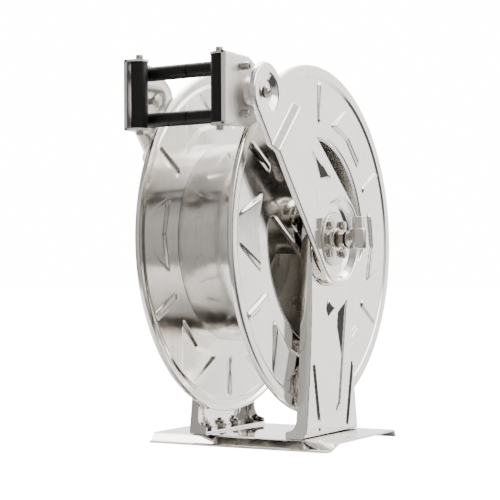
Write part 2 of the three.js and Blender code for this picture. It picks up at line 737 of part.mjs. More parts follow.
// A flat spiral strip from the arbor to the case.
function mainspring() {
  const stepsPerTurn = 15;
  const start = SLEEVE_RADIUS + 1 + SPRING_STRIP / 2;
  const end = SPRING_CASE_RADIUS - 2 - GAP - SPRING_STRIP / 2;
  const steps = SPRING_TURNS * stepsPerTurn;
  const side = (offset) => Array.from({ length: steps + 1 }, (_, i) =>
    polar(start + (end - start) * i / steps + offset, 360 * i / stepsPerTurn));
  const outline = [...side(SPRING_STRIP / 2), ...side(-SPRING_STRIP / 2).reverse()];
  const middle = -(CASE_BACK + COVER_PLANE) / 2;
  return alongX(polygon(outline), middle - SPRING_WIDTH / 2, middle + SPRING_WIDTH / 2);
}

add(reel, 'mainspring', mainspring(), springSteel);

const SHAFT_FAR_END = -(SLEEVE_OUTER_END + 9);
const SHAFT_NEAR_END = SLEEVE_OUTER_END - 6;

function reelShaft() {
  const nut = hexX(M10_HEAD + 6, SHAFT_FAR_END, -SLEEVE_OUTER_END - GAP);
  const body = rodX(SHAFT_RADIUS, SHAFT_FAR_END + 1, SHAFT_NEAR_END, 0, 0, FACETS_ROUND);
  const bore = rodX(SHAFT_BORE, OUTLET_X - 12, SHAFT_NEAR_END + 1, 0, 0, FACETS_ROUND);
  const [y, z] = polar(SHAFT_RADIUS, OUTLET_TURN - 25);
  const port = new THREE.CylinderGeometry(OUTLET_RADIUS - OUTLET_WALL,
    OUTLET_RADIUS - OUTLET_WALL, 2 * SHAFT_RADIUS, FACETS_BOLT);
  port.rotateX(Math.PI / 2).rotateX(THREE.MathUtils.degToRad(OUTLET_TURN - 25));
  return cut(nut.add(body), [bore, solid(port.translate(OUTLET_X, y, z))]);
}

add(reel, 'reel_shaft', reelShaft(), satinSteel);

// Bent pipe from the hollow shaft to the hole in the drum.
function outletPipe() {
  const at = (radius, degrees) => {
    const [y, z] = polar(radius, degrees);
    return new THREE.Vector3(OUTLET_X, y, z);
  };
  const path = new THREE.CatmullRomCurve3([
    at(SHAFT_RADIUS + 1, OUTLET_TURN - 25), at(SHAFT_RADIUS + 29, OUTLET_TURN - 25),
    at((SHAFT_RADIUS + DRUM_RADIUS) / 2, OUTLET_TURN - 18),
    at(DRUM_RADIUS - 37, OUTLET_TURN - 2), at(DRUM_RADIUS - 1, OUTLET_TURN),
  ]);
  const ring = (radius) => {
    const shape = new THREE.Shape();
    shape.absarc(0, 0, radius, 0, 2 * Math.PI, false);
    return shape;
  };
  const sweep = (radius) => solid(new THREE.ExtrudeGeometry(ring(radius), {
    steps: 8, extrudePath: path, curveSegments: 4, bevelEnabled: false,
  }));
  const clearShaft = rodX(SHAFT_RADIUS + GAP, -40, 60, 0, 0, FACETS_ROUND);
  const flush = tubeX(DRUM_RADIUS + 40, DRUM_RADIUS - 0.5, -40, 60, FACETS_DISC);
  return cut(sweep(OUTLET_RADIUS), [sweep(OUTLET_RADIUS - OUTLET_WALL), clearShaft, flush]);
}

add(reel, 'outlet_pipe', outletPipe(), satinSteel);

// ---------------------------------------------------------------- ratchet and pawl

const RATCHET_INNER = FLANGE_PLANE + FLANGE_SHEET + GAP;

// Angle at the pawl's pin between the axle and the tip, for a tip at a given radius.
function pawlAngle(tipRadius) {
  const cosine = (PAWL_PIN_FROM_AXLE ** 2 + PAWL_REACH ** 2 - tipRadius ** 2)
    / (2 * PAWL_PIN_FROM_AXLE * PAWL_REACH);
  return THREE.MathUtils.radToDeg(Math.acos(cosine));
}

// Angle at the axle between the pin and a tip at a given radius.
function tipAngle(tipRadius) {
  const cosine = (PAWL_PIN_FROM_AXLE ** 2 + tipRadius ** 2 - PAWL_REACH ** 2)
    / (2 * PAWL_PIN_FROM_AXLE * tipRadius);
  return THREE.MathUtils.radToDeg(Math.acos(cosine));
}

const PIN_DIRECTION = 180 - PAWL_PIN_TURN;
const ENGAGED_RADIUS = RATCHET_TIP - PAWL_DEPTH;
const GAP_DIRECTION = PIN_DIRECTION - tipAngle(ENGAGED_RADIUS);

function ratchetWheel() {
  const pitch = 360 / RATCHET_TEETH;
  const outline = [];
  for (let i = 0; i < RATCHET_TEETH; i += 1) {
    const middle = GAP_DIRECTION + i * pitch;
    const at = (share) => middle + share * pitch;
    outline.push(polar(RATCHET_TIP, at(-TOOTH_FACE)));
    outline.push(polar(RATCHET_ROOT, at(TOOTH_LEAN - TOOTH_FACE)));
    outline.push(polar(RATCHET_ROOT, at(TOOTH_LEAN - TOOTH_FACE + TOOTH_BOTTOM)));
    outline.push(polar(RATCHET_TIP, at(1 - TOOTH_FACE - TOOTH_LAND)));
  }
  const wheel = alongX(polygon(outline), -RATCHET_INNER - RATCHET_THICKNESS, -RATCHET_INNER);
  const bore = rodX(SLEEVE_RADIUS + 2, -RATCHET_INNER - 10, 0, 0, 0, FACETS_ROUND);
  return wheel.subtract(bore);
}

add(reel, 'ratchet_wheel', ratchetWheel(), zincSteel);

const pawlPlace = polar(PAWL_PIN_FROM_AXLE, PIN_DIRECTION);
const PIN_END = -RATCHET_INNER;

// Drawn with the pin at the origin and the tip towards +Z, then turned to its rest.
function pawl() {
  const eye = new THREE.Shape();
  eye.absarc(0, 0, 9, toRadians(150), toRadians(390), false);
  eye.lineTo(2.6, PAWL_REACH - 20);
  eye.lineTo(1.6, PAWL_REACH - 1.5);
  eye.lineTo(0, PAWL_REACH);
  eye.lineTo(-2.2, PAWL_REACH - 2);
  eye.lineTo(-4.5, PAWL_REACH - 16);
  eye.closePath();
  const x1 = -RATCHET_INNER;
  const body = alongX(eye, x1 - RATCHET_THICKNESS, x1, 6);
  return body.subtract(rodX(boreFor(PAWL_PIN_RADIUS), x1 - 10, x1 + 10));
}

const pawlGroup = new THREE.Group();
pawlGroup.position.set(0, ...pawlPlace);
const towardsAxle = PIN_DIRECTION + 180;
pawlGroup.rotation.x = toRadians(towardsAxle + pawlAngle(RATCHET_TIP + PAWL_CLEARANCE));
axle.add(pawlGroup);
add(pawlGroup, 'pawl', pawl(), zincSteel);

const PIN_ROOT = -(PEDESTAL_FACE - PEDESTAL_SHEET - GAP);
const pin = joined([
  rodX(PAWL_PIN_RADIUS, PIN_ROOT, PIN_END),
  rodX(PAWL_PIN_RADIUS + 4, PIN_ROOT, PIN_ROOT + 3),
]);
add(axle, 'pawl_pin', pin, zincSteel).position.set(0, ...pawlPlace);

// Closed coil round the pin, between its head and the pawl.
function pawlSpring() {
  const wire = 0.9;
  const radius = PAWL_PIN_RADIUS + GAP + wire;
  const turns = 3.5;
  const start = PIN_ROOT + 3 + GAP + wire;
  const end = -RATCHET_INNER - RATCHET_THICKNESS - GAP - wire;
  const points = Array.from({ length: 8 * turns + 1 }, (_, i) => {
    const angle = 2 * Math.PI * i / 8;
    const x = start + (end - start) * i / (8 * turns);
    return new THREE.Vector3(x, radius * Math.cos(angle), radius * Math.sin(angle));
  });
  const section = new THREE.Shape();
  section.absarc(0, 0, wire, 0, 2 * Math.PI, false);
  return solid(new THREE.ExtrudeGeometry(section, {
    steps: 8 * turns, extrudePath: new THREE.CatmullRomCurve3(points),
    curveSegments: 3, bevelEnabled: false,
  }));
}

add(axle, 'pawl_spring', pawlSpring(), springSteel).position.set(0, ...pawlPlace);

// ---------------------------------------------------------------- inlet swivel

const STEM_START = SHAFT_NEAR_END + GAP;
const NUT_START = SLEEVE_OUTER_END + 5;
const NUT_END = NUT_START + 8;
const SEAL_START = NUT_END + GAP;
const SEAL_END = SEAL_START + 3;
const ELBOW_START = SEAL_END + GAP;
const STEM_END = ELBOW_X - 4;

const stem = turned([
  [STEM_START, STEM_BORE], [STEM_END, STEM_BORE], [STEM_END, STEM_RADIUS - 1.5],
  [NUT_END, STEM_RADIUS - 1.5], [NUT_END, STEM_RADIUS], [STEM_START, STEM_RADIUS],
], FACETS_ROUND);
add(reel, 'swivel_stem', stem, brass);

const nutTool = rodX(STEM_RADIUS + GAP, NUT_START - 5, NUT_END + 5, 0, 0, FACETS_ROUND);
add(reel, 'swivel_nut', hexX(24.5, NUT_START, NUT_END).subtract(nutTool), zincSteel);

const inlet = new THREE.Group();
axle.add(inlet);
const STEM_TAIL = STEM_RADIUS - 1.5 + GAP;
add(inlet, 'swivel_seal', tubeX(ELBOW_RADIUS, STEM_TAIL, SEAL_START, SEAL_END), blackNylon);

function inletElbow() {
  const branch = rodX(ELBOW_RADIUS, ELBOW_START, ELBOW_X, 0, 0, FACETS_ROUND);
  const upright = rodZ(ELBOW_RADIUS, -ELBOW_HALF_HEIGHT, ELBOW_HALF_HEIGHT, ELBOW_X, 0,
    FACETS_ROUND);
  const neck = rodZ(NECK_RADIUS, 0, NECK_TOP, ELBOW_X, 0, FACETS_ROUND);
  const bore = rodZ(INLET_BORE, -ELBOW_HALF_HEIGHT + 5, NECK_TOP + 1, ELBOW_X, 0, FACETS_ROUND);
  const socket = rodX(STEM_TAIL, ELBOW_START - 1, ELBOW_X, 0, 0, FACETS_ROUND);
  return cut(joined([branch, upright, neck]), [bore, socket]);
}

add(inlet, 'inlet_elbow', inletElbow(), satinSteel);

// ---------------------------------------------------------------- arms

const arms = new THREE.Group();
arms.rotation.x = toRadians(ARM_TILT);
axle.add(arms);

const ARM_HEAD_FACE = ARM_FACE - ARM_JOGGLE;

// Side view of the joggled sheet, from its outer face to a depth behind it.
function armSide(depth) {
  const low = -ARM_LOBE - 1;
  const high = ARM_LENGTH + ARM_END + 1;
  const rampStart = RAMP_MIDDLE - RAMP_WIDTH / 2;
  const rampEnd = RAMP_MIDDLE + RAMP_WIDTH / 2;
  return polygon([
    [ARM_FACE - depth, low], [ARM_FACE, low], [ARM_FACE, rampStart],
    [ARM_HEAD_FACE, rampEnd], [ARM_HEAD_FACE, high], [ARM_HEAD_FACE - depth, high],
    [ARM_HEAD_FACE - depth, rampEnd], [ARM_FACE - depth, rampStart],
  ]);
}

// A round dish pressed in from face to floor, as the body that it adds and the hollow.
function dish(face, floor, mouth, floorRadius) {
  const body = turned([
    [floor - ARM_SHEET, 0], [floor, 0], [face - 0.1, 0], [face - 0.1, mouth],
    [face - ARM_SHEET, mouth + 2.5], [floor - ARM_SHEET, floorRadius + 2],
  ]);
  const hollow = turned([
    [floor, 0], [face + 1, 0], [face + 1, mouth + 0.7], [face, mouth], [floor, floorRadius],
  ]);
  return { body, hollow };
}

// Pressed marks on an arm, in the arm's own Y and Z.
function armMarks() {
  const wedge = [[28, 188], [14, 112], [36, 90]];
  const panel = [[-3, 116], [5, 90], [-24, 76]];
  return [{ points: corners(wedge), radius: 3 }, { points: corners(panel), radius: 3 }];
}

function arm() {
  const outline = taperedOutline(ARM_LOBE, ARM_END, ARM_LENGTH);
  const insetOutline = taperedOutline(ARM_LOBE, ARM_END, ARM_LENGTH, ARM_SHEET);
  const x0 = ARM_HEAD_FACE - 40;
  const x1 = ARM_FACE + 10;
  const plan = alongX(outline, x0, x1, 10);
  const middle = alongX(insetOutline, x0 - 1, x1 + 1, 10);
  const width = ARM_LOBE + 2;
  const sheet = alongY(armSide(ARM_SHEET), -width, width).intersect(plan);
  const edge = alongY(armSide(ARM_EDGE), -width, width).intersect(plan.subtract(middle));
  const hub = dish(ARM_FACE, ARM_FLOOR_OUTER, HUB_DISH, HUB_DISH_FLOOR);
  const headFloor = ARM_HEAD_FACE - PIVOT_DISH_DEPTH;
  const head = dish(0, -PIVOT_DISH_DEPTH, PIVOT_DISH, PIVOT_DISH - 4);
  const place = [ARM_HEAD_FACE, 0, ARM_LENGTH];
  const marked = pressed(sheet, armMarks(), ARM_FACE, ARM_SHEET, 2);
  const whole = joined([marked, edge, hub.body, head.body.translate(place)]);
  return cut(whole, [
    hub.hollow, head.hollow.translate(place),
    rodX(boreFor(HOUSING_SPIGOT, FACETS_DISC), ARM_FLOOR_INNER - 5, ARM_FACE + 5, 0, 0,
      FACETS_DISC),
    rodX(boreFor(M10_SHANK), headFloor - 10, headFloor + 10, 0, ARM_LENGTH),
  ]);
}

const armGeometry = geometryOf(arm());
add(arms, 'near_arm', armGeometry, polishedSteel);
add(arms, 'far_arm', mirrored(armGeometry), polishedSteel);

// Pivot stack between a side plate and an arm's head.
const pivot = new THREE.Group();
pivot.position.z = ARM_LENGTH;
arms.add(pivot);

const HEAD_FLOOR_INNER = ARM_HEAD_FACE - PIVOT_DISH_DEPTH - ARM_SHEET;
const BOSS_FACE = HEAD_HALF_WIDTH + BOSS_HEIGHT;
const WASHER_END = BOSS_FACE + GAP + WASHER_THICKNESS;
const DISC_END = HEAD_FLOOR_INNER - GAP;
const PIVOT_BORE = boreFor(M10_SHANK, FACETS_DISC);

const washer = tubeX(WASHER_RADIUS, PIVOT_BORE, BOSS_FACE + GAP, WASHER_END, FACETS_DISC);
const disc = turned([
  [WASHER_END + GAP, PIVOT_BORE], [DISC_END, PIVOT_BORE], [DISC_END, DISC_RADIUS - 1],
  [DISC_END - 1, DISC_RADIUS], [WASHER_END + GAP, DISC_RADIUS],
]);

// Hexagon inside the side plate, shank through the stack, round head in the arm's dish.
function pivotBolt() {
  const plate = HEAD_HALF_WIDTH - HEAD_SHEET - GAP;
  const outer = ARM_HEAD_FACE - PIVOT_DISH_DEPTH + GAP;
  return joined([
    hexX(M10_HEAD, plate - M10_HEIGHT, plate),
    rodX(M10_SHANK, plate - 1, outer + 1),
    turned([[outer, 0], [outer + 5, 0], [outer + 5, 5], [outer + 3, 8.5], [outer, 9]],
      FACETS_ROUND),
  ]);
}

const boltGeometry = geometryOf(pivotBolt());
add(pivot, 'near_pivot_bolt', boltGeometry, zincSteel);
add(pivot, 'far_pivot_bolt', mirrored(boltGeometry), zincSteel);
add(pivot, 'near_pivot_disc', disc, polishedSteel);
add(pivot, 'far_pivot_disc', mirrored(geometryOf(disc)), polishedSteel);
add(pivot, 'near_friction_washer', washer, blackNylon);
add(pivot, 'far_friction_washer', mirrored(geometryOf(washer)), blackNylon);

// ---------------------------------------------------------------- guide head

const guide = new THREE.Group();
guide.rotation.x = -arms.rotation.x;
pivot.add(guide);

const PLATE_INNER = HEAD_HALF_WIDTH - HEAD_SHEET;

function sidePlateOutline() {
  const half = HEAD_HEIGHT / 2;
  const rear = HEAD_REAR - HEAD_REAR_RADIUS;
  const shape = new THREE.Shape();
  shape.moveTo(-HEAD_FRONT, -half);
  shape.lineTo(-HEAD_SHOULDER, -half);
  shape.absarc(rear, 0, HEAD_REAR_RADIUS, toRadians(-65), toRadians(65), false);
  shape.lineTo(-HEAD_SHOULDER, half);
  shape.lineTo(-HEAD_FRONT, half);
  shape.closePath();
  return shape;
}

// Tab that holds one end of an upright roller.
function rollerTab(z0) {
  const round = UPRIGHT_ROLLER_RADIUS + 1;
  const shape = new THREE.Shape();
  shape.moveTo(PLATE_INNER + 1, -UPRIGHT_ROLLER_Y + round);
  shape.lineTo(UPRIGHT_ROLLER_X, -UPRIGHT_ROLLER_Y + round);
  shape.absarc(UPRIGHT_ROLLER_X, -UPRIGHT_ROLLER_Y, round, Math.PI / 2, 1.25 * Math.PI, false);
  shape.lineTo(UPRIGHT_ROLLER_X, -HEAD_FRONT);
  shape.lineTo(PLATE_INNER + 1, -HEAD_FRONT);
  shape.closePath();
  const tab = new THREE.ExtrudeGeometry(shape, {
    depth: HEAD_SHEET, bevelEnabled: false, curveSegments: 5,
  });
  const hole = rodZ(boreFor(ROD_RADIUS), z0 - 1, z0 + HEAD_SHEET + 1, UPRIGHT_ROLLER_X,
    -UPRIGHT_ROLLER_Y);
  return solid(tab.translate(0, 0, z0)).subtract(hole);
}

function sidePlate() {
  const half = HEAD_HEIGHT / 2;
  const plate = alongX(sidePlateOutline(), PLATE_INNER, HEAD_HALF_WIDTH, 12);
  const lip = box(HEAD_HALF_WIDTH - HEAD_LIP, HEAD_HALF_WIDTH, -HEAD_FRONT,
    -HEAD_FRONT + HEAD_SHEET, -half, half);
  const boss = turned([
    [PLATE_INNER + 1, 0], [BOSS_FACE, 0], [BOSS_FACE, BOSS_RADIUS - 4],
    [HEAD_HALF_WIDTH, BOSS_RADIUS], [PLATE_INNER + 1, BOSS_RADIUS],
  ]);
  const rods = [-1, 1].map((side) => rodX(boreFor(ROD_RADIUS), PLATE_INNER - 1,
    HEAD_HALF_WIDTH + 1, -LEVEL_ROLLER_Y, side * LEVEL_ROLLER_Z));
  const hole = rodX(PIVOT_BORE, PLATE_INNER - 1, BOSS_FACE + 1, 0, 0, FACETS_DISC);
  const body = joined([plate, lip, boss, rollerTab(half - HEAD_SHEET), rollerTab(-half)]);
  return cut(body, [hole, ...rods]);
}

const sidePlateGeometry = geometryOf(sidePlate());
add(guide, 'near_side_plate', sidePlateGeometry, polishedSteel);
add(guide, 'far_side_plate', mirrored(sidePlateGeometry), polishedSteel);

// Through rod of a pair of level rollers, with a cap nut outside each plate.
function levelRod() {
  const nut = HEAD_HALF_WIDTH + GAP;
  const end = nut + M6_HEIGHT + 3;
  return joined([
    rodX(ROD_RADIUS, -end - 2, end + 2), hexX(M6_HEAD, nut, end), hexX(M6_HEAD, -end, -nut),
  ]);
}

// Bolt of an upright roller, head up.
function uprightBolt() {
  const outer = HEAD_HEIGHT / 2 + GAP;
  return joined([
    rodZ(ROD_RADIUS, -outer - M6_HEIGHT - 1, outer + 1),
    hexZ(M6_HEAD, outer + 1, outer + 1 + M6_HEIGHT),
    rodZ(M6_HEAD / 2 + 2, outer, outer + 1.2, 0, 0, FACETS_ROUND),
    hexZ(M6_HEAD, -outer - M6_HEIGHT, -outer),
  ]);
}

const levelRodGeometry = geometryOf(levelRod());
const uprightBoltGeometry = geometryOf(uprightBolt());
for (const [label, side] of [['upper', 1], ['lower', -1]]) {
  const rod = add(guide, `${label}_rod`, levelRodGeometry, zincSteel);
  rod.position.set(0, -LEVEL_ROLLER_Y, side * LEVEL_ROLLER_Z);
}

// A roller sleeve with rounded ends on a bore for its rod.
function rollerSleeve(radius, start, end) {
  const bore = boreFor(ROD_RADIUS, FACETS_ROUND);
  const round = 1;
  return turned([
    [start, bore], [end, bore], [end, radius - round], [end - round, radius],
    [start + round, radius], [start, radius - round],
  ], FACETS_ROUND);
}

const LEVEL_END = PLATE_INNER - 1;
const UPRIGHT_HALF = HEAD_HEIGHT / 2 - HEAD_SHEET - 0.5;
const levelSleeve = geometryOf(rollerSleeve(LEVEL_ROLLER_RADIUS, ROLLER_SEAM / 2, LEVEL_END));
const otherLevelSleeve = mirrored(levelSleeve);
const uprightSleeve = geometryOf(rollerSleeve(UPRIGHT_ROLLER_RADIUS, -UPRIGHT_HALF,
  UPRIGHT_HALF)).rotateY(Math.PI / 2);

for (const [label, side] of [['upper', 1], ['lower', -1]]) {
  for (const [end, sleeve] of [['near', levelSleeve], ['far', otherLevelSleeve]]) {
    const roller = add(guide, `${label}_roller_${end}`, sleeve, blackNylon);
    roller.position.set(0, -LEVEL_ROLLER_Y, side * LEVEL_ROLLER_Z);
  }
}
for (const [label, side] of [['near', 1], ['far', -1]]) {
  const place = [side * UPRIGHT_ROLLER_X, -UPRIGHT_ROLLER_Y, 0];
  add(guide, `${label}_upright_roller`, uprightSleeve, blackNylon).position.set(...place);
  add(guide, `${label}_roller_bolt`, uprightBoltGeometry, zincSteel).position.set(...place);
}

export default model;
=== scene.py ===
"""Looks of a polished stainless hose reel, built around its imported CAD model."""

import json
import math

import bmesh
import bpy
import numpy as np
from bpy.props import FloatProperty, FloatVectorProperty, IntProperty, PointerProperty
from mathutils import Matrix, Vector


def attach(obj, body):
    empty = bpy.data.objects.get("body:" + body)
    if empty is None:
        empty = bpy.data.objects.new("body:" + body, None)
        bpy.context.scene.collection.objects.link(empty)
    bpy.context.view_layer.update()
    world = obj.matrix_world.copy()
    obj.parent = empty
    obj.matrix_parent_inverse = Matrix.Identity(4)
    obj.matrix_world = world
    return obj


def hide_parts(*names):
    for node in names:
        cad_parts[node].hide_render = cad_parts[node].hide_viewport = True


bl_info = {
    "name": "Hose Reel",
    "version": (1, 0, 0),
    "blender": (4, 5, 0),
    "location": "3D View > Sidebar > Hose Reel",
    "description": "Pressed steel hose reel with arms, roller guide and swivel inlet",
    "category": "Add Mesh",
}

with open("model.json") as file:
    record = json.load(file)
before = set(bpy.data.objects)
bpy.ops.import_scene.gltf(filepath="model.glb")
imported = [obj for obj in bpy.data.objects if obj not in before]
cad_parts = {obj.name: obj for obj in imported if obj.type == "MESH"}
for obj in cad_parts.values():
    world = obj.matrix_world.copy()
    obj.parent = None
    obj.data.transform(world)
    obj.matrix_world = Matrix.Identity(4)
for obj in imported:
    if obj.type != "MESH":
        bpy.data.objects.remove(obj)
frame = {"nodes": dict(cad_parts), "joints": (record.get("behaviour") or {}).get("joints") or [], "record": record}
joints = {joint["name"]: joint for joint in frame["joints"]}
axle = Vector(joints["reel_spin"]["pos_m"])
pivot = Vector(joints["guide_head_tilt"]["pos_m"])
arm_line = pivot - axle
arm_tilt = math.atan2(-arm_line.y, arm_line.z)

# Places of the pieces' own frames, which are in millimetres.
MILLIMETRES = Matrix.Scale(0.001, 4)
FLOOR = Matrix.Translation((0, axle.y, 0)) @ MILLIMETRES
AXLE = Matrix.Translation(axle) @ MILLIMETRES
ARM = Matrix.Translation(axle) @ Matrix.Rotation(arm_tilt, 4, "X") @ MILLIMETRES
HEAD = Matrix.Translation(pivot) @ MILLIMETRES
MIRROR = Matrix.Diagonal((-1, 1, 1, 1))
SIDES = (("near", 1), ("far", -1))


def linear(code):
    """A hex sRGB colour as linear RGB."""
    values = [int(code[i : i + 2], 16) / 255 for i in (0, 2, 4)]
    return [v / 12.92 if v <= 0.04045 else ((v + 0.055) / 1.055) ** 2.4 for v in values]


# ------------------------------------------------------------------ sizes and colours


class ReelSizes(bpy.types.PropertyGroup):
    """Sizes of the sheet work and the turned pieces"""

    rib_height: FloatProperty(
        name="Rib height", description="How far a pressed rib stands out, in mm", default=2.2,
        min=0.5, max=2.4,
    )
    panel_height: FloatProperty(
        name="Panel height", description="Height of a flange's sloping panels, in mm",
        default=3.9, min=1.0, max=4.7,
    )
    rib_blend: FloatProperty(
        name="Rib blend", description="Width of a rib's sloping wall, in mm", default=2.4,
        min=1.0, max=8.0,
    )
    rim_steps: IntProperty(
        name="Rim steps", description="Segments round a flange", default=540, min=96, max=720,
    )
    turned_steps: IntProperty(
        name="Turned steps", description="Segments round a turned piece", default=96,
        min=24, max=256,
    )


class ReelColours(bpy.types.PropertyGroup):
    """Colours of the finishes"""

    polished: FloatVectorProperty(
        name="Polished steel", description="Mirror-polished stainless sheet",
        subtype="COLOR", default=linear("E3E0DC"), min=0, max=1,
    )
    satin: FloatVectorProperty(
        name="Satin steel", description="Turned and rolled stainless", subtype="COLOR",
        default=linear("CFCBC6"), min=0, max=1,
    )
    mill: FloatVectorProperty(
        name="Mill steel", description="Unpolished inner side of the sheet", subtype="COLOR",
        default=linear("C4C0B9"), min=0, max=1,
    )
    fastener: FloatVectorProperty(
        name="Fasteners", description="Plain stainless bolts and nuts", subtype="COLOR",
        default=linear("ABA7A1"), min=0, max=1,
    )
    spring: FloatVectorProperty(
        name="Spring steel", description="Oiled spring strip", subtype="COLOR",
        default=linear("5A5E66"), min=0, max=1,
    )
    nylon: FloatVectorProperty(
        name="Black nylon", description="Rollers, washers and seal", subtype="COLOR",
        default=linear("100F0E"), min=0, max=1,
    )
    brass: FloatVectorProperty(
        name="Dull brass", description="Swivel stem", subtype="COLOR",
        default=linear("6F6456"), min=0, max=1,
    )
    floor: FloatVectorProperty(
        name="Floor", description="Studio floor and backdrop", subtype="COLOR",
        default=linear("FFFFFF"), min=0, max=1,
    )


# ------------------------------------------------------------------ finishes


def add_node(tree, kind, inputs=(), **settings):
    """Adds a node, sets its fields, and fills its inputs with values or other outputs."""
    made = tree.nodes.new(kind)
    for key, value in settings.items():
        setattr(made, key, value)
    for key, value in dict(inputs).items():
        if isinstance(value, bpy.types.NodeSocket):
            tree.links.new(value, made.inputs[key])
        else:
            made.inputs[key].default_value = value
    return made


def new_finish(name):
    finish = bpy.data.materials.get(name)
    if finish:
        return finish, None, None
    finish = bpy.data.materials.new(name)
    finish.use_nodes = True
    tree = finish.node_tree
    return finish, tree, tree.nodes["Principled BSDF"]


def metal(name, colour, roughness, spread, wave, wave_size, line=0.0, line_size=1.0):
    """A metal whose polish varies softly, on a sheet that is never quite flat.

    roughness and spread are the middle and the range of its gloss. wave is the height of
    the sheet's unevenness in millimetres over wave_size millimetres, and line the height
    of the marks left by turning, line_size millimetres apart. Its colour runs in faint
    upright streaks 3 mm wide, left by rolling and buffing.
    """
    finish, tree, shader = new_finish(name)
    if tree is None:
        return finish
    place = add_node(tree, "ShaderNodeTexCoord").outputs["Object"]
    shader.inputs["Metallic"].default_value = 1.0
    drawn = add_node(
        tree, "ShaderNodeMapping", {"Vector": place, "Scale": (1.0, 1.0, 0.03)})
    streak = add_node(
        tree, "ShaderNodeTexNoise",
        {"Vector": drawn.outputs["Vector"], "Scale": 330.0, "Detail": 3.0})
    tint = add_node(
        tree, "ShaderNodeMix", {"Factor": streak.outputs["Fac"]}, data_type="RGBA")
    tint.inputs["A"].default_value = (*[0.84 * c for c in colour], 1)
    tint.inputs["B"].default_value = (*[min(1.0, 1.12 * c) for c in colour], 1)
    tree.links.new(tint.outputs["Result"], shader.inputs["Base Color"])
    cloud = add_node(
        tree, "ShaderNodeTexNoise",
        {"Vector": place, "Scale": 22.0, "Detail": 5.0, "Roughness": 0.62},
    )
    smear = add_node(
        tree, "ShaderNodeMapRange",
        {"Value": cloud.outputs["Fac"], "From Min": 0.3, "From Max": 0.7,
         "To Min": roughness - spread, "To Max": roughness + spread},
    )
    tree.links.new(smear.outputs["Result"], shader.inputs["Roughness"])
    swell = add_node(
        tree, "ShaderNodeTexNoise",
        {"Vector": place, "Scale": 1000.0 / wave_size, "Detail": 1.0, "Roughness": 0.4},
    )
    normal = add_node(
        tree, "ShaderNodeBump",
        {"Height": swell.outputs["Fac"], "Distance": wave * 0.001, "Strength": 1.0},
    ).outputs["Normal"]
    if line:
        grain = add_node(
            tree, "ShaderNodeTexNoise",
            {"Vector": place, "Scale": 1000.0 / line_size, "Detail": 2.0},
        )
        normal = add_node(
            tree, "ShaderNodeBump",
            {"Height": grain.outputs["Fac"], "Distance": line * 0.001, "Strength": 1.0,
             "Normal": normal},
        ).outputs["Normal"]
    tree.links.new(normal, shader.inputs["Normal"])
    return finish


def polished_stainless():
    # Buffed 304 sheet: a clear mirror, softly wavy from pressing, with faint wipe marks.
    return metal("polished_stainless_sheet", colours().polished, 0.07, 0.02, 0.1, 60.0)


def flange_stainless():
    # The same sheet after spinning and pressing: a little duller, reflections softened.
    return metal("pressed_stainless_flange", colours().polished, 0.13, 0.03, 0.12, 60.0)


def brushed_stainless():
    # Small plates finished with a belt: the same tone as the sheet without its mirror.
    return metal("brushed_stainless", colours().polished, 0.5, 0.06, 0.06, 60.0, 0.006, 1.5)


def satin_stainless():
    # Rolled and turned stainless: reflections hold their shape but lose their edges.
    return metal("satin_stainless", colours().satin, 0.2, 0.05, 0.1, 45.0, 0.01, 1.5)


def fastener_stainless():
    # Cold-headed A2 bolts: bright, a little dull on the flats.
    return metal("cold_headed_stainless", colours().fastener, 0.27, 0.06, 0.03, 9.0)


def mill_stainless():
    # The unpolished side of the sheet: cool grey, reflections only as soft patches.
    return metal("mill_stainless", colours().mill, 0.32, 0.06, 0.06, 50.0, 0.008, 1.2)


def spring_steel():
    # Blue-grey hardened strip under a film of oil.
    return metal("oiled_spring_steel", colours().spring, 0.36, 0.08, 0.05, 20.0)


def dull_brass():
    # Nickel-washed brass gone brown: a warm tone between the two nuts.
    return metal("dull_brass", colours().brass, 0.32, 0.08, 0.03, 8.0)


def black_nylon():
    # Turned black polyamide: satin, with fine lathe marks that catch the light.
    finish, tree, shader = new_finish("turned_black_nylon")
    if tree is None:
        return finish
    place = add_node(tree, "ShaderNodeTexCoord").outputs["Object"]
    shader.inputs["IOR"].default_value = 1.53
    shader.inputs["Specular IOR Level"].default_value = 0.22
    speckle = add_node(
        tree, "ShaderNodeTexNoise", {"Vector": place, "Scale": 180.0, "Detail": 4.0},
    )
    tone = add_node(
        tree, "ShaderNodeMix", {"Factor": speckle.outputs["Fac"]}, data_type="RGBA",
    )
    tone.inputs["A"].default_value = (*[0.75 * c for c in colours().nylon], 1)
    tone.inputs["B"].default_value = (*[1.35 * c for c in colours().nylon], 1)
    tree.links.new(tone.outputs["Result"], shader.inputs["Base Color"])
    gloss = add_node(
        tree, "ShaderNodeMapRange",
        {"Value": speckle.outputs["Fac"], "To Min": 0.34, "To Max": 0.5},
    )
    tree.links.new(gloss.outputs["Result"], shader.inputs["Roughness"])
    # Lathe marks 0.4 mm apart are drawn 1 mm apart so that they show.
    marks = add_node(
        tree, "ShaderNodeTexNoise", {"Vector": place, "Scale": 700.0, "Detail": 2.0},
    )
    bump = add_node(
        tree, "ShaderNodeBump",
        {"Height": marks.outputs["Fac"], "Distance": 0.00004, "Strength": 1.0},
    )
    tree.links.new(bump.outputs["Normal"], shader.inputs["Normal"])
    return finish


def sizes():
    return bpy.context.scene.reel_sizes


def colours():
    return bpy.context.scene.reel_colours


# ------------------------------------------------------------------ shaping


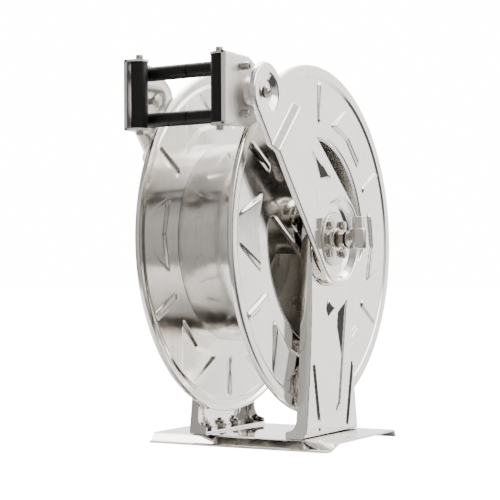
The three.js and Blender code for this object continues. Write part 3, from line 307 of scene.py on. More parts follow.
def finish_piece(shape, name, place, finish, body, nodes=(), sharp=32):
    """Makes a mesh object of a bmesh drawn in millimetres and sets it on its body."""
    shape.transform(place)
    bmesh.ops.remove_doubles(shape, verts=shape.verts, dist=1e-6)
    bmesh.ops.recalc_face_normals(shape, faces=shape.faces)
    mesh = bpy.data.meshes.new(name)
    shape.to_mesh(mesh)
    shape.free()
    mesh.shade_smooth()
    mesh.set_sharp_from_angle(angle=math.radians(sharp))
    mesh.materials.append(finish)
    piece = bpy.data.objects.new(name, mesh)
    bpy.context.scene.collection.objects.link(piece)
    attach(piece, body)
    if nodes:
        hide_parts(*nodes)
    return piece


def both_sides(draw, name, place, finish, body, nodes="{}", sharp=32):
    """The piece that draw() returns, and its mirror image on the far side."""
    for label, side in SIDES:
        shape = draw()
        if side < 0:
            shape.transform(MIRROR)
        node = nodes.format(label)
        finish_piece(shape, f"{label}_{name}", place, finish, body, (node,), sharp)


def wire(shape, points, closed=False):
    """Edges through a list of points."""
    verts = [shape.verts.new(point) for point in points]
    edges = [shape.edges.new(pair) for pair in zip(verts, verts[1:])]
    if closed:
        edges.append(shape.edges.new((verts[-1], verts[0])))
    return verts, edges


def rounded_wire(shape, points, radii, segments=4):
    """A closed wire whose corners are rounded by vertex bevels, one radius each."""
    verts, _ = wire(shape, points, closed=True)
    for vert, radius in zip(verts, radii):
        if radius > 0:
            bmesh.ops.bevel(
                shape, geom=[vert], offset=radius, offset_type="OFFSET", segments=segments,
                profile=0.5, affect="VERTICES", material=-1,
            )
    return shape.edges[:]


def joined(*shapes):
    """Several closed forms in one bmesh."""
    whole = bmesh.new()
    for shape in shapes:
        mesh = bpy.data.meshes.new("part")
        shape.to_mesh(mesh)
        shape.free()
        whole.from_mesh(mesh)
        bpy.data.meshes.remove(mesh)
    return whole


def turned(profile, radii=None, steps=0, segments=4):
    """A closed profile of [x, radius] pairs turned about the X axis."""
    shape = bmesh.new()
    points = [(x, 0, radius) for x, radius in profile]
    rounded_wire(shape, points, radii or [0] * len(points), segments)
    bmesh.ops.spin(
        shape, geom=shape.verts[:] + shape.edges[:], cent=(0, 0, 0), axis=(1, 0, 0),
        dvec=(0, 0, 0), angle=2 * math.pi, steps=steps or sizes().turned_steps,
        use_merge=True, use_duplicate=False,
    )
    return shape


def blend(low, high, value):
    """0 below low, 1 above high, and a smooth curve between."""
    t = np.clip((value - low) / (high - low), 0, 1)
    return t * t * (3 - 2 * t)


def depth_inside(corners, y, z):
    """How far each point lies inside a polygon, negative outside."""
    nearest = np.full(y.shape, 1e9)
    inside = np.zeros(y.shape, bool)
    count = len(corners)
    for i in range(count):
        (ay, az), (by, bz) = corners[i], corners[(i + 1) % count]
        ey, ez = by - ay, bz - az
        py, pz = y - ay, z - az
        t = np.clip((py * ey + pz * ez) / (ey * ey + ez * ez), 0, 1)
        nearest = np.minimum(nearest, np.hypot(py - t * ey, pz - t * ez))
        crosses = ((az > z) != (bz > z)) & (
            y < (by - ay) * (z - az) / (bz - az + 1e-12) + ay
        )
        inside ^= crosses
    return np.where(inside, nearest, -nearest)


def polar(radius, degrees):
    """A point at a radius and an angle from straight up, counted towards the front."""
    angle = math.radians(degrees)
    return -radius * math.sin(angle), radius * math.cos(angle)


def lift(shape, height, where=None):
    """Moves the vertices of a shape along X by a function of Y and Z."""
    verts = [v for v in shape.verts if where is None or where(v.co)]
    co = np.array([v.co for v in verts])
    for vert, rise in zip(verts, height(co[:, 1], co[:, 2])):
        vert.co.x += rise


# ------------------------------------------------------------------ pressed plates


def arc(y, z, radius, start, end, steps):
    """Points on an arc in the YZ plane, from one angle to another in degrees."""
    angles = [math.radians(start + (end - start) * i / steps) for i in range(steps + 1)]
    return [(y + radius * math.cos(a), z + radius * math.sin(a)) for a in angles]


def outline_edges(corners, margin):
    """Each edge of a convex outline moved in by a margin, as a point and outward normal."""
    edges = []
    for i, start in enumerate(corners):
        end = corners[(i + 1) % len(corners)]
        along = Vector((end[0] - start[0], end[1] - start[1])).normalized()
        outwards = Vector((0, along.y, -along.x))
        edges.append((Vector((0, *start)) - margin * outwards, outwards))
    return edges


def flat_sheet(corners, margin, spacing):
    """A fine grid in the YZ plane, cut to a convex outline."""
    low_y, high_y = min(y for y, _ in corners), max(y for y, _ in corners)
    low_z, high_z = min(z for _, z in corners), max(z for _, z in corners)
    half_y, half_z = (high_y - low_y) / 2 + 1, (high_z - low_z) / 2 + 1
    sheet = bmesh.new()
    bmesh.ops.create_grid(
        sheet, x_segments=round(2 * half_y / spacing), y_segments=round(2 * half_z / spacing),
        size=1.0,
    )
    upright = Matrix(((0, 0, 1, 0), (1, 0, 0, 0), (0, 1, 0, 0), (0, 0, 0, 1)))
    middle = Matrix.Translation((0, (low_y + high_y) / 2, (low_z + high_z) / 2))
    sheet.transform(middle @ upright @ Matrix.Diagonal((half_y, half_z, 1, 1)))
    for point, outwards in outline_edges(corners, margin):
        bmesh.ops.bisect_plane(
            sheet, geom=sheet.verts[:] + sheet.edges[:] + sheet.faces[:], dist=1e-4,
            plane_co=point, plane_no=outwards, clear_outer=True,
        )
    bmesh.ops.remove_doubles(sheet, verts=sheet.verts, dist=0.02)
    return sheet


def open_hole(sheet, radius):
    """Opens a round hole about the X axis in a fine sheet."""
    inside = [f for f in sheet.faces if math.hypot(*f.calc_center_median().yz) < radius]
    bmesh.ops.delete(sheet, geom=inside, context="FACES")
    for edge in [e for e in sheet.edges if e.is_boundary]:
        for vert in edge.verts:
            reach = math.hypot(vert.co.y, vert.co.z)
            if reach < 1.4 * radius:
                vert.co.y *= radius / reach
                vert.co.z *= radius / reach


def fold_edges(sheet, bend, depth, where):
    """Folds the boundary edges that where() picks back round a bend, down to a depth."""
    rim = [e for e in sheet.edges if e.is_boundary and where(e.verts[0].co)]
    sides = {}
    for edge in rim:
        first, last = (v.co for v in edge.verts)
        side = (last - first).cross(Vector((1, 0, 0))).normalized()
        if side.dot(edge.link_faces[0].calc_center_median() - first) > 0:
            side.negate()
        for vert in edge.verts:
            sides.setdefault(vert, []).append(side)
    ways = {
        vert: (vert.co.copy(), (way[0] + way[-1]) / (1 + way[0].dot(way[-1])))
        for vert, way in sides.items()
    }
    for step in range(1, 6):
        turn = math.radians(min(step, 4) * 22.5)
        found = bmesh.ops.extrude_edge_only(sheet, edges=rim)["geom"]
        rim = [g for g in found if isinstance(g, bmesh.types.BMEdge)]
        fresh = {g for g in found if isinstance(g, bmesh.types.BMVert)}
        held = {v.co.copy().freeze(): way for v, way in ways.items()}
        ways = {v: held[v.co.copy().freeze()] for v in fresh}
        for vert, (start, way) in ways.items():
            drop = bend * (1 - math.cos(turn)) if step < 5 else depth(start.y, start.z)
            vert.co = start + way * bend * math.sin(turn) - Vector((drop, 0, 0))


def thicken(shape, sheet):
    """Gives an open sheet that faces +X its thickness, behind its face."""
    bmesh.ops.recalc_face_normals(shape, faces=shape.faces)
    if sum(f.normal.x * f.calc_area() for f in shape.faces) < 0:
        bmesh.ops.reverse_faces(shape, faces=shape.faces)
    bmesh.ops.solidify(shape, geom=shape.faces[:], thickness=sheet)


def pressed_plate(corners, face, height, depth, sheet, bend, spacing, hole=0.0, draw_in=None):
    """A plate with pressed forms and an edge folded back, of even sheet thickness."""
    shape = flat_sheet(corners, bend, spacing)
    if draw_in:
        for vert in shape.verts:
            vert.co.y *= draw_in(vert.co.z)
    if hole:
        open_hole(shape, hole)
    lift(shape, lambda y, z: face + height(y, z))
    fold_edges(shape, bend, depth, lambda co: math.hypot(co.y, co.z) > 1.3 * hole)
    thicken(shape, sheet)
    return shape


def softly(low, high, value, soft):
    """0 below low and 1 above high, straight between, with rounded corners."""
    def bend(t):
        return np.where(t > soft, t, np.where(t < -soft, 0, (t + soft) ** 2 / (4 * soft)))

    return (bend(value - low) - bend(value - high)) / (high - low)


def lesser(first, second, soft):
    """The smaller of two heights, with the crease between them rounded."""
    return (first + second - np.sqrt((first - second) ** 2 + soft * soft)) / 2


# ------------------------------------------------------------------ flanges

RIM = 265.0
WEB_JOIN = 165.0
FLANGE_FACE = 77.5
FLANGE_SHEET = 2.0
PATTERN_TURN = -2.5
PATTERN_COUNT = 6
RIB_INNER, RIB_OUTER, RIB_HALF = 179.0, 243.0, 6.0
DELTA_CORNER = Vector((55.3, 175.5))
DELTA_TIP = Vector((19.1, 242.3))
DELTA_CREST = Vector((0.0, 188.0))


def inside_line(start, end, u, v):
    """Distance of points from the line start to end, positive on its left."""
    along = (end - start).normalized()
    return (v - start.y) * along.x - (u - start.x) * along.y


def flange_pattern(y, z):
    """Height of a flange's pressed pattern: round-ended ribs and sloping panels."""
    rib, panel = sizes().rib_height, sizes().panel_height
    wall = sizes().rib_blend
    height = np.zeros(y.shape)
    for i in range(PATTERN_COUNT):
        turn = math.radians(PATTERN_TURN + i * 360 / PATTERN_COUNT)
        along = z * math.cos(turn) - y * math.sin(turn)
        across = y * math.cos(turn) + z * math.sin(turn)
        middle = np.clip(along, RIB_INNER + RIB_HALF, RIB_OUTER - RIB_HALF)
        inside = RIB_HALF - np.hypot(across, along - middle)
        height = np.maximum(height, rib * blend(-0.3, wall - 0.3, inside))
        turn += math.pi / PATTERN_COUNT
        along = z * math.cos(turn) - y * math.sin(turn)
        across = np.abs(y * math.cos(turn) + z * math.sin(turn))
        slope = panel * np.clip((DELTA_TIP.y - along) / (DELTA_TIP.y - DELTA_CREST.y), 0, 1.2)
        side = 1.9 * inside_line(DELTA_CORNER, DELTA_TIP, across, along)
        crest = 0.9 * inside_line(DELTA_CREST, DELTA_CORNER, across, along)
        raised = lesser(lesser(slope, side, 0.5), crest, 0.5)
        height = np.maximum(height, np.where(along > 0, raised, 0))
    return height


def flange_ring(inner):
    """A pressed disc with a stepped and rolled rim, its sheet drawn as a closed section."""
    back = FLANGE_FACE - FLANGE_SHEET
    step, bead = RIM - 17, 4.0
    rows = list(np.linspace(inner, 172, 26 if inner < 100 else 5))
    rows += list(np.arange(173.5, step - 5.6, 1.6))
    outer = [(FLANGE_FACE, r) for r in rows]
    outer += [
        (FLANGE_FACE + 2 * float(softly(step - 4.2, step, r, 0.8)), r)
        for r in np.arange(step - 5.4, step + 1.4, 0.6)
    ]
    outer += [(FLANGE_FACE + 2, r) for r in (252, 256, 258.5)]
    outer += [
        (FLANGE_FACE + 2 - bead + bead * math.sin(math.radians(t)),
         RIM - bead + bead * math.cos(math.radians(t)))
        for t in range(75, -136, -15)
    ]
    inside = [(back + 2, 256), (back + 2, 252)]
    inside += [
        (back + 2 * float(softly(step - 4.2, step, r, 0.8)), r)
        for r in np.arange(step + 1.4, step - 5.6, -0.6)
    ]
    inside += [(back, r) for r in reversed(rows)]
    shape = bmesh.new()
    wire(shape, [(x, 0, r) for x, r in outer + inside], closed=True)
    bmesh.ops.spin(
        shape, geom=shape.verts[:] + shape.edges[:], cent=(0, 0, 0), axis=(1, 0, 0),
        dvec=(0, 0, 0), angle=2 * math.pi, steps=sizes().rim_steps,
        use_merge=True, use_duplicate=False,
    )
    lift(shape, flange_pattern, lambda co: 173 < math.hypot(co.y, co.z) < step - 2)
    return shape


# The near flange's eye is two round-cornered openings with a bar between them.
WEB_TURN = 57.5
WEB_HALF = 41.0
WEB_BEND = 5.0
OPENING_RADIUS, OPENING_CORNER = 161.0, 23.0
PANEL_HALF_LENGTH, PANEL_HALF_WIDTH = 85.0, 30.0


def loop(points):
    """A closed wire in the YZ plane as a bmesh."""
    shape = bmesh.new()
    wire(shape, [(0, y, z) for y, z in points], closed=True)
    return shape


def opening(side):
    """Outline of one opening where its edge starts to bend."""
    middle = -(WEB_HALF + OPENING_CORNER)
    reach = math.sqrt((OPENING_RADIUS - OPENING_CORNER) ** 2 - middle**2)
    turn = math.degrees(math.atan2(reach, middle))
    points = arc(middle, reach, OPENING_CORNER, 0, turn, 24)
    points += arc(0, 0, OPENING_RADIUS, turn, 360 - turn, 150)[1:]
    points += arc(middle, -reach, OPENING_CORNER, 360 - turn, 360, 24)[1:]
    return [(side * y, z) for y, z in points]


def flange_web():
    """The middle of the near flange, with turned-in edges and a raised panel."""
    steps = sizes().rim_steps
    length, width = PANEL_HALF_LENGTH, PANEL_HALF_WIDTH
    panel = [(-width, -length), (width, -length), (width, length), (-width, length)]
    field = joined(
        loop(arc(0, 0, WEB_JOIN, 0, 360 - 360 / steps, steps - 1)),
        loop(opening(1)), loop(opening(-1)), loop(panel))
    bmesh.ops.triangle_fill(
        field, edges=field.edges[:], use_beauty=True, use_dissolve=False, normal=(1, 0, 0))
    bmesh.ops.inset_region(
        field, faces=field.faces[:], thickness=0.6, use_boundary=True, use_even_offset=True)
    plate = joined(loop(panel), loop(arc(0, 0, 12.0, 0, 352, 44)))
    bmesh.ops.triangle_fill(
        plate, edges=plate.edges[:], use_beauty=True, use_dissolve=False, normal=(1, 0, 0))
    bmesh.ops.recalc_face_normals(plate, faces=plate.faces)
    rise = 1.8 if plate.faces[0].normal.x > 0 else -1.8
    bmesh.ops.inset_region(
        plate, faces=plate.faces[:], thickness=1.8, depth=rise, use_boundary=True,
        use_even_offset=True)
    web = joined(field, plate)
    bmesh.ops.remove_doubles(web, verts=web.verts, dist=0.01)
    web.transform(Matrix.Translation((FLANGE_FACE, 0, 0)))
    fold_edges(
        web, WEB_BEND, lambda y, z: 10.0,
        lambda co: 20 < math.hypot(co.y, co.z) < WEB_JOIN - 1)
    thicken(web, FLANGE_SHEET)
    web.transform(Matrix.Rotation(math.radians(WEB_TURN), 4, "X"))
    return web


class REEL_OT_flanges(bpy.types.Operator):
    """Adds the two pressed flanges"""

    bl_idname = "reel.flanges"
    bl_label = "Flanges"

    def execute(self, context):
        near = joined(flange_ring(WEB_JOIN), flange_web())
        finish_piece(near, "near_flange_sheet", AXLE, flange_stainless(), "reel",
                     ("near_flange",), 40)
        far = flange_ring(18.0)
        far.transform(MIRROR)
        finish_piece(far, "far_flange_sheet", AXLE, flange_stainless(), "reel",
                     ("far_flange",), 40)
        return {"FINISHED"}


# ------------------------------------------------------------------ inside the reel

DRUM = 155.0


class REEL_OT_drum(bpy.types.Operator):
    """Adds the rolled drum shell"""

    bl_idname = "reel.drum"
    bl_label = "Drum"

    def execute(self, context):
        half = FLANGE_FACE - FLANGE_SHEET - 0.3
        profile = [(-half, DRUM), (half, DRUM), (half, DRUM - 2), (-half, DRUM - 2)]
        shell = turned(profile, [0.5] * 4, sizes().rim_steps // 2, 2)
        drum = finish_piece(shell, "drum_sheet", AXLE, drum_steel(), "reel",
                            ("drum_shell",))
        drum.data.materials.append(mill_stainless())
        for face in drum.data.polygons:
            outwards = face.center - axle
            outwards.x = 0
            face.material_index = int(outwards.dot(face.normal) < 0)
        return {"FINISHED"}


class REEL_OT_hub_tube(bpy.types.Operator):
    """Adds the hub tube and the spring housing, seen through the near flange's openings"""

    bl_idname = "reel.hub_tube"
    bl_label = "Hub tube"

    def execute(self, context):
        tube = turned([(-14.6, 11.3), (75.3, 11.3), (75.3, 20.5), (-14.6, 20.5)],
                      [0, 0, 1, 0], 128)
        finish_piece(tube, "hub_tube", AXLE, mill_stainless(), "reel", ("hub_spider",))
        cover = turned(
            [(-24.4, 11.3), (-14.9, 11.3), (-14.9, 19.3), (-22.4, 22.3), (-22.4, 60),
             (-24.9, 70), (-24.9, 108), (-26.9, 110), (-26.9, 70), (-24.4, 60)],
            [0, 0.8, 1.5, 3, 8, 8, 1.5, 0.5, 8, 8])
        finish_piece(cover, "spring_cover_sheet", AXLE, mill_stainless(), "reel",
                     ("spring_cover",))
        case = turned(
            [(-75.2, 108), (-27.2, 108), (-27.2, 110), (-73.2, 110), (-73.2, 120),
             (-75.2, 120)], [0, 0.5, 0.5, 2, 0.8, 0.5])
        finish_piece(case, "spring_case_sheet", AXLE, mill_stainless(), "reel",
                     ("spring_case",))
        return {"FINISHED"}


def drum_steel():
    # Rolled mirror sheet: the same steel as the flanges with a longer, stronger wave.
    return metal("rolled_stainless_drum", colours().polished, 0.18, 0.04, 0.35, 80.0)


# ------------------------------------------------------------------ arms

ARM_FACE, ARM_LENGTH, ARM_LOBE, ARM_END = 115.5, 288.0, 71.0, 42.0
ARM_SHEET = 3.0


def arm_outline():
    lean = math.degrees(math.asin((ARM_LOBE - ARM_END) / ARM_LENGTH))
    return (arc(0, ARM_LENGTH, ARM_END, lean, 180 - lean, 36)
            + arc(0, 0, ARM_LOBE, 180 - lean, 360 + lean, 54))


def arm_height(y, z):
    """Joggle, hub dish, pivot dish and the two pressed marks of an arm."""
    reach = np.hypot(y, z)
    from_pivot = np.hypot(y, z - ARM_LENGTH)
    height = -8.0 * softly(220.5, 231.5, z, 1.0)
    height -= 12.0 * (1 - softly(55.0, 63.0, reach, 2.2))
    height -= 4.2 * (1 - softly(16.0, 28.0, from_pivot, 2.0))
    wedge = depth_inside([(28, 188), (14, 112), (36, 90)], y, z)
    from_left = np.maximum(y - (28 - 14 * (188 - z) / 76), 0)
    growth = np.clip((188 - z) / 62, 0, 1.2)
    height += 0.011 * from_left**2 * growth * blend(-0.4, 1.4, wedge)
    kite = depth_inside([(-3, 116), (5, 90), (-24, 76)], y, z)
    return height + 0.25 * blend(-0.3, 2.2, kite)


def arm():
    return pressed_plate(
        arm_outline(), ARM_FACE, arm_height, lambda y, z: 7.0, ARM_SHEET, 4.0, 1.8, 37.5)


class REEL_OT_arms(bpy.types.Operator):
    """Adds the two pressed arms"""

    bl_idname = "reel.arms"
    bl_label = "Arms"

    def execute(self, context):
        both_sides(arm, "arm_sheet", ARM, polished_stainless(), "arms",
                   "{}_arm", 50)
        return {"FINISHED"}


# ------------------------------------------------------------------ stand

AXLE_HEIGHT = axle.z * 1000
FOOT = 14.3 - AXLE_HEIGHT
PEDESTAL_FACE, PEDESTAL_TOP, PEDESTAL_HALF = 100.0, 66.0, 92.0
WAIST = 0.07


def pedestal_outline():
    distance = math.hypot(PEDESTAL_HALF, FOOT)
    side = math.degrees(math.atan2(FOOT, PEDESTAL_HALF) + math.acos(PEDESTAL_TOP / distance))
    return [(-PEDESTAL_HALF, FOOT), (PEDESTAL_HALF, FOOT),
            *arc(0, 0, PEDESTAL_TOP, side, 180 - side, 36)]


def pedestal_height(y, z):
    """A long slanted channel, a diamond and two slim spears."""
    channel = depth_inside(
        [(21, -111), (52, -91), (47, -118), (25, -248), (12, -260), (0, -248)], y, z)
    diamond = depth_inside([(-20, -103), (-11, -90), (6, -104), (-10, -116)], y, z)
    front = depth_inside([(-67, -184), (-57, -186), (-38, -284), (-49, -285)], y, z)
    rear = depth_inside([(75, -184), (65, -186), (43, -284), (54, -285)], y, z)
    from_right = 47 + 22 * (z + 118) / 130 - y
    reach = 2.5 + 21 * np.clip((z + 180) / 60, 0, 1)
    sunk = 0.6 + 0.2 * np.clip(from_right, 0, reach)
    height = -sunk * blend(-0.4, 1.6, channel)
    from_left = np.clip(y + 20, 0, 24)
    height += from_left * (0.13 + 0.002 * from_left) * blend(-0.4, 1.2, diamond)
    return height - 1.2 * np.maximum(spear(front, -57, -38, y, z), spear(rear, 75, 54, y, z))


def spear(inside, top, foot, y, z):
    """A slim groove with a steep left side and a gently rising right side."""
    right = top + (foot - top) * (-185 - z) / 100 - y
    return blend(-0.4, 1.2, inside) * np.clip(right / 6.5, 0, 1)


def pedestal_depth(y, z):
    """Depth of the folded sides, which widen to the foot."""
    above = z - FOOT
    if above < 9:
        return 32.0
    if above > 27:
        return 16.0
    return 16 + 16 * (1 - math.sqrt((above - 9) / 18)) ** 2


def waist(z):
    """The sides curve in above the foot: their width as a share of the straight outline."""
    along = max(0.0, min(1.0, (z - FOOT) / 260))
    return 1 - WAIST * math.sin(math.pi * along)


def pedestal():
    return pressed_plate(
        pedestal_outline(), PEDESTAL_FACE, pedestal_height, pedestal_depth, 3.0, 5.5, 1.9, 17.0,
        waist)


def base_sheet():
    """A hat section along the axle, with clipped corners at its sloped lips."""
    half_length, bend, edge, strip, rise, sheet = 158.0, 98.0, 122.0, 8.0, 14.0, 3.0
    profile = [(bend, rise), (edge - strip + 1, sheet), (edge, sheet), (edge, 0),
               (edge - strip, 0), (bend - 1, rise - sheet)]
    points = [(0, y, z) for y, z in profile]
    points += [(0, -y, z) for y, z in reversed(profile)]
    radii = [4, 1, 0.4, 0.4, 4, 1]
    shape = bmesh.new()
    rounded_wire(shape, points, radii + radii[::-1])
    end = bmesh.ops.contextual_create(shape, geom=shape.edges[:])["faces"]
    shape.transform(Matrix.Translation((-half_length, 0, 0)))
    swept = bmesh.ops.extrude_face_region(shape, geom=end)["geom"]
    moved = [g for g in swept if isinstance(g, bmesh.types.BMVert)]
    bmesh.ops.translate(shape, verts=moved, vec=(2 * half_length, 0, 0))
    for side in (-1, 1):
        for way in (-1, 1):
            cut = bmesh.ops.bisect_plane(
                shape, geom=shape.verts[:] + shape.edges[:] + shape.faces[:], dist=1e-4,
                plane_co=(side * half_length, way * bend, 0),
                plane_no=(side * (edge - bend), way * strip, 0), clear_outer=True,
            )["geom_cut"]
            bmesh.ops.holes_fill(
                shape, edges=[g for g in cut if isinstance(g, bmesh.types.BMEdge)])
    return shape


class REEL_OT_pedestals(bpy.types.Operator):
    """Adds the two pressed pedestals"""

    bl_idname = "reel.pedestals"
    bl_label = "Pedestals"

    def execute(self, context):
        both_sides(pedestal, "pedestal_sheet", AXLE, polished_stainless(), "stand",
                   "{}_pedestal", 50)
        return {"FINISHED"}


class REEL_OT_base(bpy.types.Operator):
    """Adds the base plate"""

    bl_idname = "reel.base"
    bl_label = "Base plate"

    def execute(self, context):
        finish_piece(base_sheet(), "base_sheet", FLOOR, polished_stainless(), "stand",
                     ("base_plate",), 40)
        return {"FINISHED"}


# ------------------------------------------------------------------ fasteners


def hexagon(across, low, high, chamfer=0.9, bore=0.0):
    """A hexagon head along X, its corners broken, with a bore in its outer end if asked."""
    shape = bmesh.new()
    bmesh.ops.create_cone(
        shape, cap_ends=True, segments=6, radius1=across / math.sqrt(3),
        radius2=across / math.sqrt(3), depth=high - low,
        matrix=Matrix.Translation(((low + high) / 2, 0, 0)) @ Matrix.Rotation(
            math.pi / 2, 4, "Y") @ Matrix.Rotation(math.pi / 6, 4, "Z"),
    )
    ends = [e for e in shape.edges if abs(e.verts[0].co.x - e.verts[1].co.x) < 1e-4]
    bmesh.ops.bevel(
        shape, geom=ends, offset=chamfer * 0.6, segments=2, profile=0.5, affect="EDGES",
        material=-1)
    if bore:
        outer = max(shape.faces, key=lambda f: abs(f.calc_center_median().x))
        bmesh.ops.inset_region(shape, faces=[outer], thickness=across / 2 - bore)
        sunk = bmesh.ops.extrude_face_region(shape, geom=[outer])["geom"]
        way = math.copysign(4.0, outer.calc_center_median().x)
        bmesh.ops.translate(
            shape, verts=[g for g in sunk if isinstance(g, bmesh.types.BMVert)],
            vec=(-way, 0, 0))
    return shape


def shank(radius, low, high, thread=0.0):
    """A round bar along X with a chamfered end, and thread grooves if asked for."""
    profile = [(low, 0.01), (low, radius - 0.6), (low + 0.6, radius)]
    if thread:
        count = int((high - low - 1.2) / thread)
        for i in range(count):
            x = low + 0.8 + i * thread
            profile += [(x, radius), (x + thread / 2, radius - 0.45 * thread)]
    profile += [(high - 0.6, radius), (high, radius - 0.6), (high, 0.01)]
    return turned(profile, steps=24)


UPRIGHT = Matrix.Rotation(-math.pi / 2, 4, "Y")


class REEL_OT_foot_bolts(bpy.types.Operator):
    """Adds the bolts and nuts of both feet"""

    bl_idname = "reel.foot_bolts"
    bl_label = "Foot bolts"

    def execute(self, context):
        for label, side in SIDES:
            for i in range(4):
                bolt = joined(
                    hexagon(13, 5.2, 10.7), hexagon(13, 17.6, 24.1), shank(4, 9, 27.6, 1.25))
                bolt.transform(UPRIGHT)
                bolt.transform(Matrix.Rotation(math.radians(17 * i), 4, "Z"))
                bolt.transform(Matrix.Translation((side * 82, (i - 1.5) * 43, 0)))
                finish_piece(bolt, f"{label}_foot_nut_{i + 1}", FLOOR, fastener_stainless(),
                             "stand", (f"{label}_foot_bolt_{i + 1}",))
        return {"FINISHED"}


STUDS = (("top_front", -21, 21), ("top_rear", 21, 21), ("low_front", -21, -21),
         ("low_rear", 21, -21))


def housing():
    """Clamp disc with a raised collar round the sleeve."""
    return turned(
        [(88, 13.3), (111.8, 13.3), (111.8, 17), (107.3, 17.5), (107.3, 40), (106, 41),
         (103.8, 41), (103.8, 36), (100.3, 36), (100.3, 16), (88, 16)],
        [0.3, 0.8, 1.2, 1.5, 0.8, 0.5, 0.5, 0, 0, 0, 0.5])


class REEL_OT_hub(bpy.types.Operator):
    """Adds the near bearing housing and the bolts of both hubs"""

    bl_idname = "reel.hub"
    bl_label = "Hubs"

    def execute(self, context):
        finish_piece(housing(), "near_housing", AXLE, satin_stainless(), "stand",
                     ("near_bearing_housing",))
        for label, side in SIDES:
            for place, y, z in STUDS:
                bolt = joined(
                    hexagon(13, 107.6, 113.1), hexagon(13, 91.2, 96.7),
                    shank(4, 89.2, 109))
                bolt.transform(Matrix.Rotation(math.radians(y + z / 2), 4, "X"))
                bolt.transform(Matrix.Translation((0, y, z)))
                if side < 0:
                    bolt.transform(MIRROR)
                finish_piece(bolt, f"{label}_hub_nut_{place}", AXLE, fastener_stainless(),
                             "stand", (f"{label}_hub_bolt_{place}",))
        return {"FINISHED"}


# ------------------------------------------------------------------ inlet


class REEL_OT_inlet(bpy.types.Operator):
    """Adds the swivel stem, nut, seal and elbow"""

    bl_idname = "reel.inlet"
    bl_label = "Inlet"

    def execute(self, context):
        stem = turned([(106.1, 7), (141, 7), (141, 9.5), (124.8, 9.5), (124.8, 11),
                       (106.1, 11)], [0, 0.5, 0.8, 0, 0.6, 0])
        finish_piece(stem, "stem_sleeve", AXLE, dull_brass(), "reel", ("swivel_stem",))
        nut = hexagon(24.5, 116.8, 124.8, 1.6)
        finish_piece(nut, "stem_nut", AXLE, fastener_stainless(), "reel", ("swivel_nut",))
        seal = turned([(125.1, 9.8), (128.1, 9.8), (128.1, 13), (125.1, 13)],
                      [0.2, 0.2, 1, 1])
        finish_piece(seal, "seal_ring", AXLE, black_nylon(), "inlet", ("swivel_seal",))
        finish_piece(self.elbow(), "elbow_body", AXLE, satin_stainless(), "inlet",
                     ("inlet_elbow",))
        return {"FINISHED"}

    def elbow(self):
        branch = turned([(128.4, 9.8), (143, 9.8), (143, 13), (128.4, 13)],
                        [0.3, 0, 0, 1], 64)
        upright = turned(
            [(-15, 0.01), (-15, 13), (15, 13), (15, 10.5), (33, 10.48), (33, 8), (-6, 8),
             (-6, 0.01)], [0, 1.5, 1.2, 0.8, 1, 0.8, 0, 0], 64)
        upright.transform(Matrix.Translation((145, 0, 0)) @ UPRIGHT)
        return joined(branch, upright)


# ------------------------------------------------------------------ guide head


def side_plate():
    """A side plate with an oblong boss and a lip folded in along its edge."""
    half = 49.75
    outline = [(-77, -half), (-11, -half), *arc(14, 0, 35, -65, 65, 24), (-11, half),
               (-77, half)]

    def height(y, z):
        from_core = np.hypot(np.maximum(np.abs(y) - 13, 0), np.maximum(np.abs(z) - 2, 0))
        return 10.0 * (1 - softly(14.0, 18.0, from_core, 1.2))

    def depth(y, z):
        return 7.0 if y < -70 else 3.6

    plate = pressed_plate(outline, 84.0, height, depth, 3.0, 3.4, 1.8)
    tabs = [roller_tab(half - 3), roller_tab(-half)]
    return joined(plate, *tabs)


def roller_tab(low):
    """Tab with a round end that holds one end of an upright roller."""
    shape = bmesh.new()
    round_end = [(65.5 + 13 * math.cos(math.radians(a)), -62 + 13 * math.sin(math.radians(a)))
                 for a in range(90, 226, 15)]
    points = [(82, -49), *round_end, (65.5, -77), (82, -77)]
    wire(shape, [(x, y, low) for x, y in points], closed=True)
    bmesh.ops.contextual_create(shape, geom=shape.edges[:])
    thick = bmesh.ops.extrude_face_region(shape, geom=shape.faces[:])["geom"]
    bmesh.ops.translate(shape, verts=[g for g in thick if isinstance(g, bmesh.types.BMVert)],
                        vec=(0, 0, 3))
    return shape


class REEL_OT_head(bpy.types.Operator):
    """Adds the side plates and the pivot stacks of the guide head"""

    bl_idname = "reel.head"
    bl_label = "Guide head"

    def execute(self, context):
        both_sides(side_plate, "head_plate", HEAD, brushed_stainless(), "guide_head",
                   "{}_side_plate", 50)

        def washer():
            return turned([(94.3, 5.4), (97.3, 5.4), (97.3, 18), (94.3, 18)],
                          [0.3, 0.3, 1, 1])

        def disc():
            return turned([(97.6, 5.4), (100.2, 5.4), (100.2, 21), (97.6, 21)],
                          [0.3, 0.3, 1.4, 1])

        def bolt():
            return joined(
                hexagon(17, 74.2, 80.7), shank(5, 79, 106),
                turned([(104.8, 0.01), (104.8, 9), (109.8, 5.2), (109.8, 2.6), (107.2, 2.4),
                        (107.2, 0.01)], [0, 0.6, 2.2, 0.4, 0.2, 0], 48))

        # The washer is black nylon, and its black is also painted shade: it shows as a thin dark crescent where
        # the gap between the side plate's boss and the arm's folded edge lies in shadow.
        both_sides(washer, "pivot_washer_and_gap_shade", HEAD, black_nylon(), "arms",
                   "{}_friction_washer")
        both_sides(disc, "pivot_disc", HEAD, polished_stainless(), "arms",
                   "{}_pivot_disc")
        both_sides(bolt, "pivot_screw", HEAD, fastener_stainless(), "arms",
                   "{}_pivot_bolt")
        return {"FINISHED"}


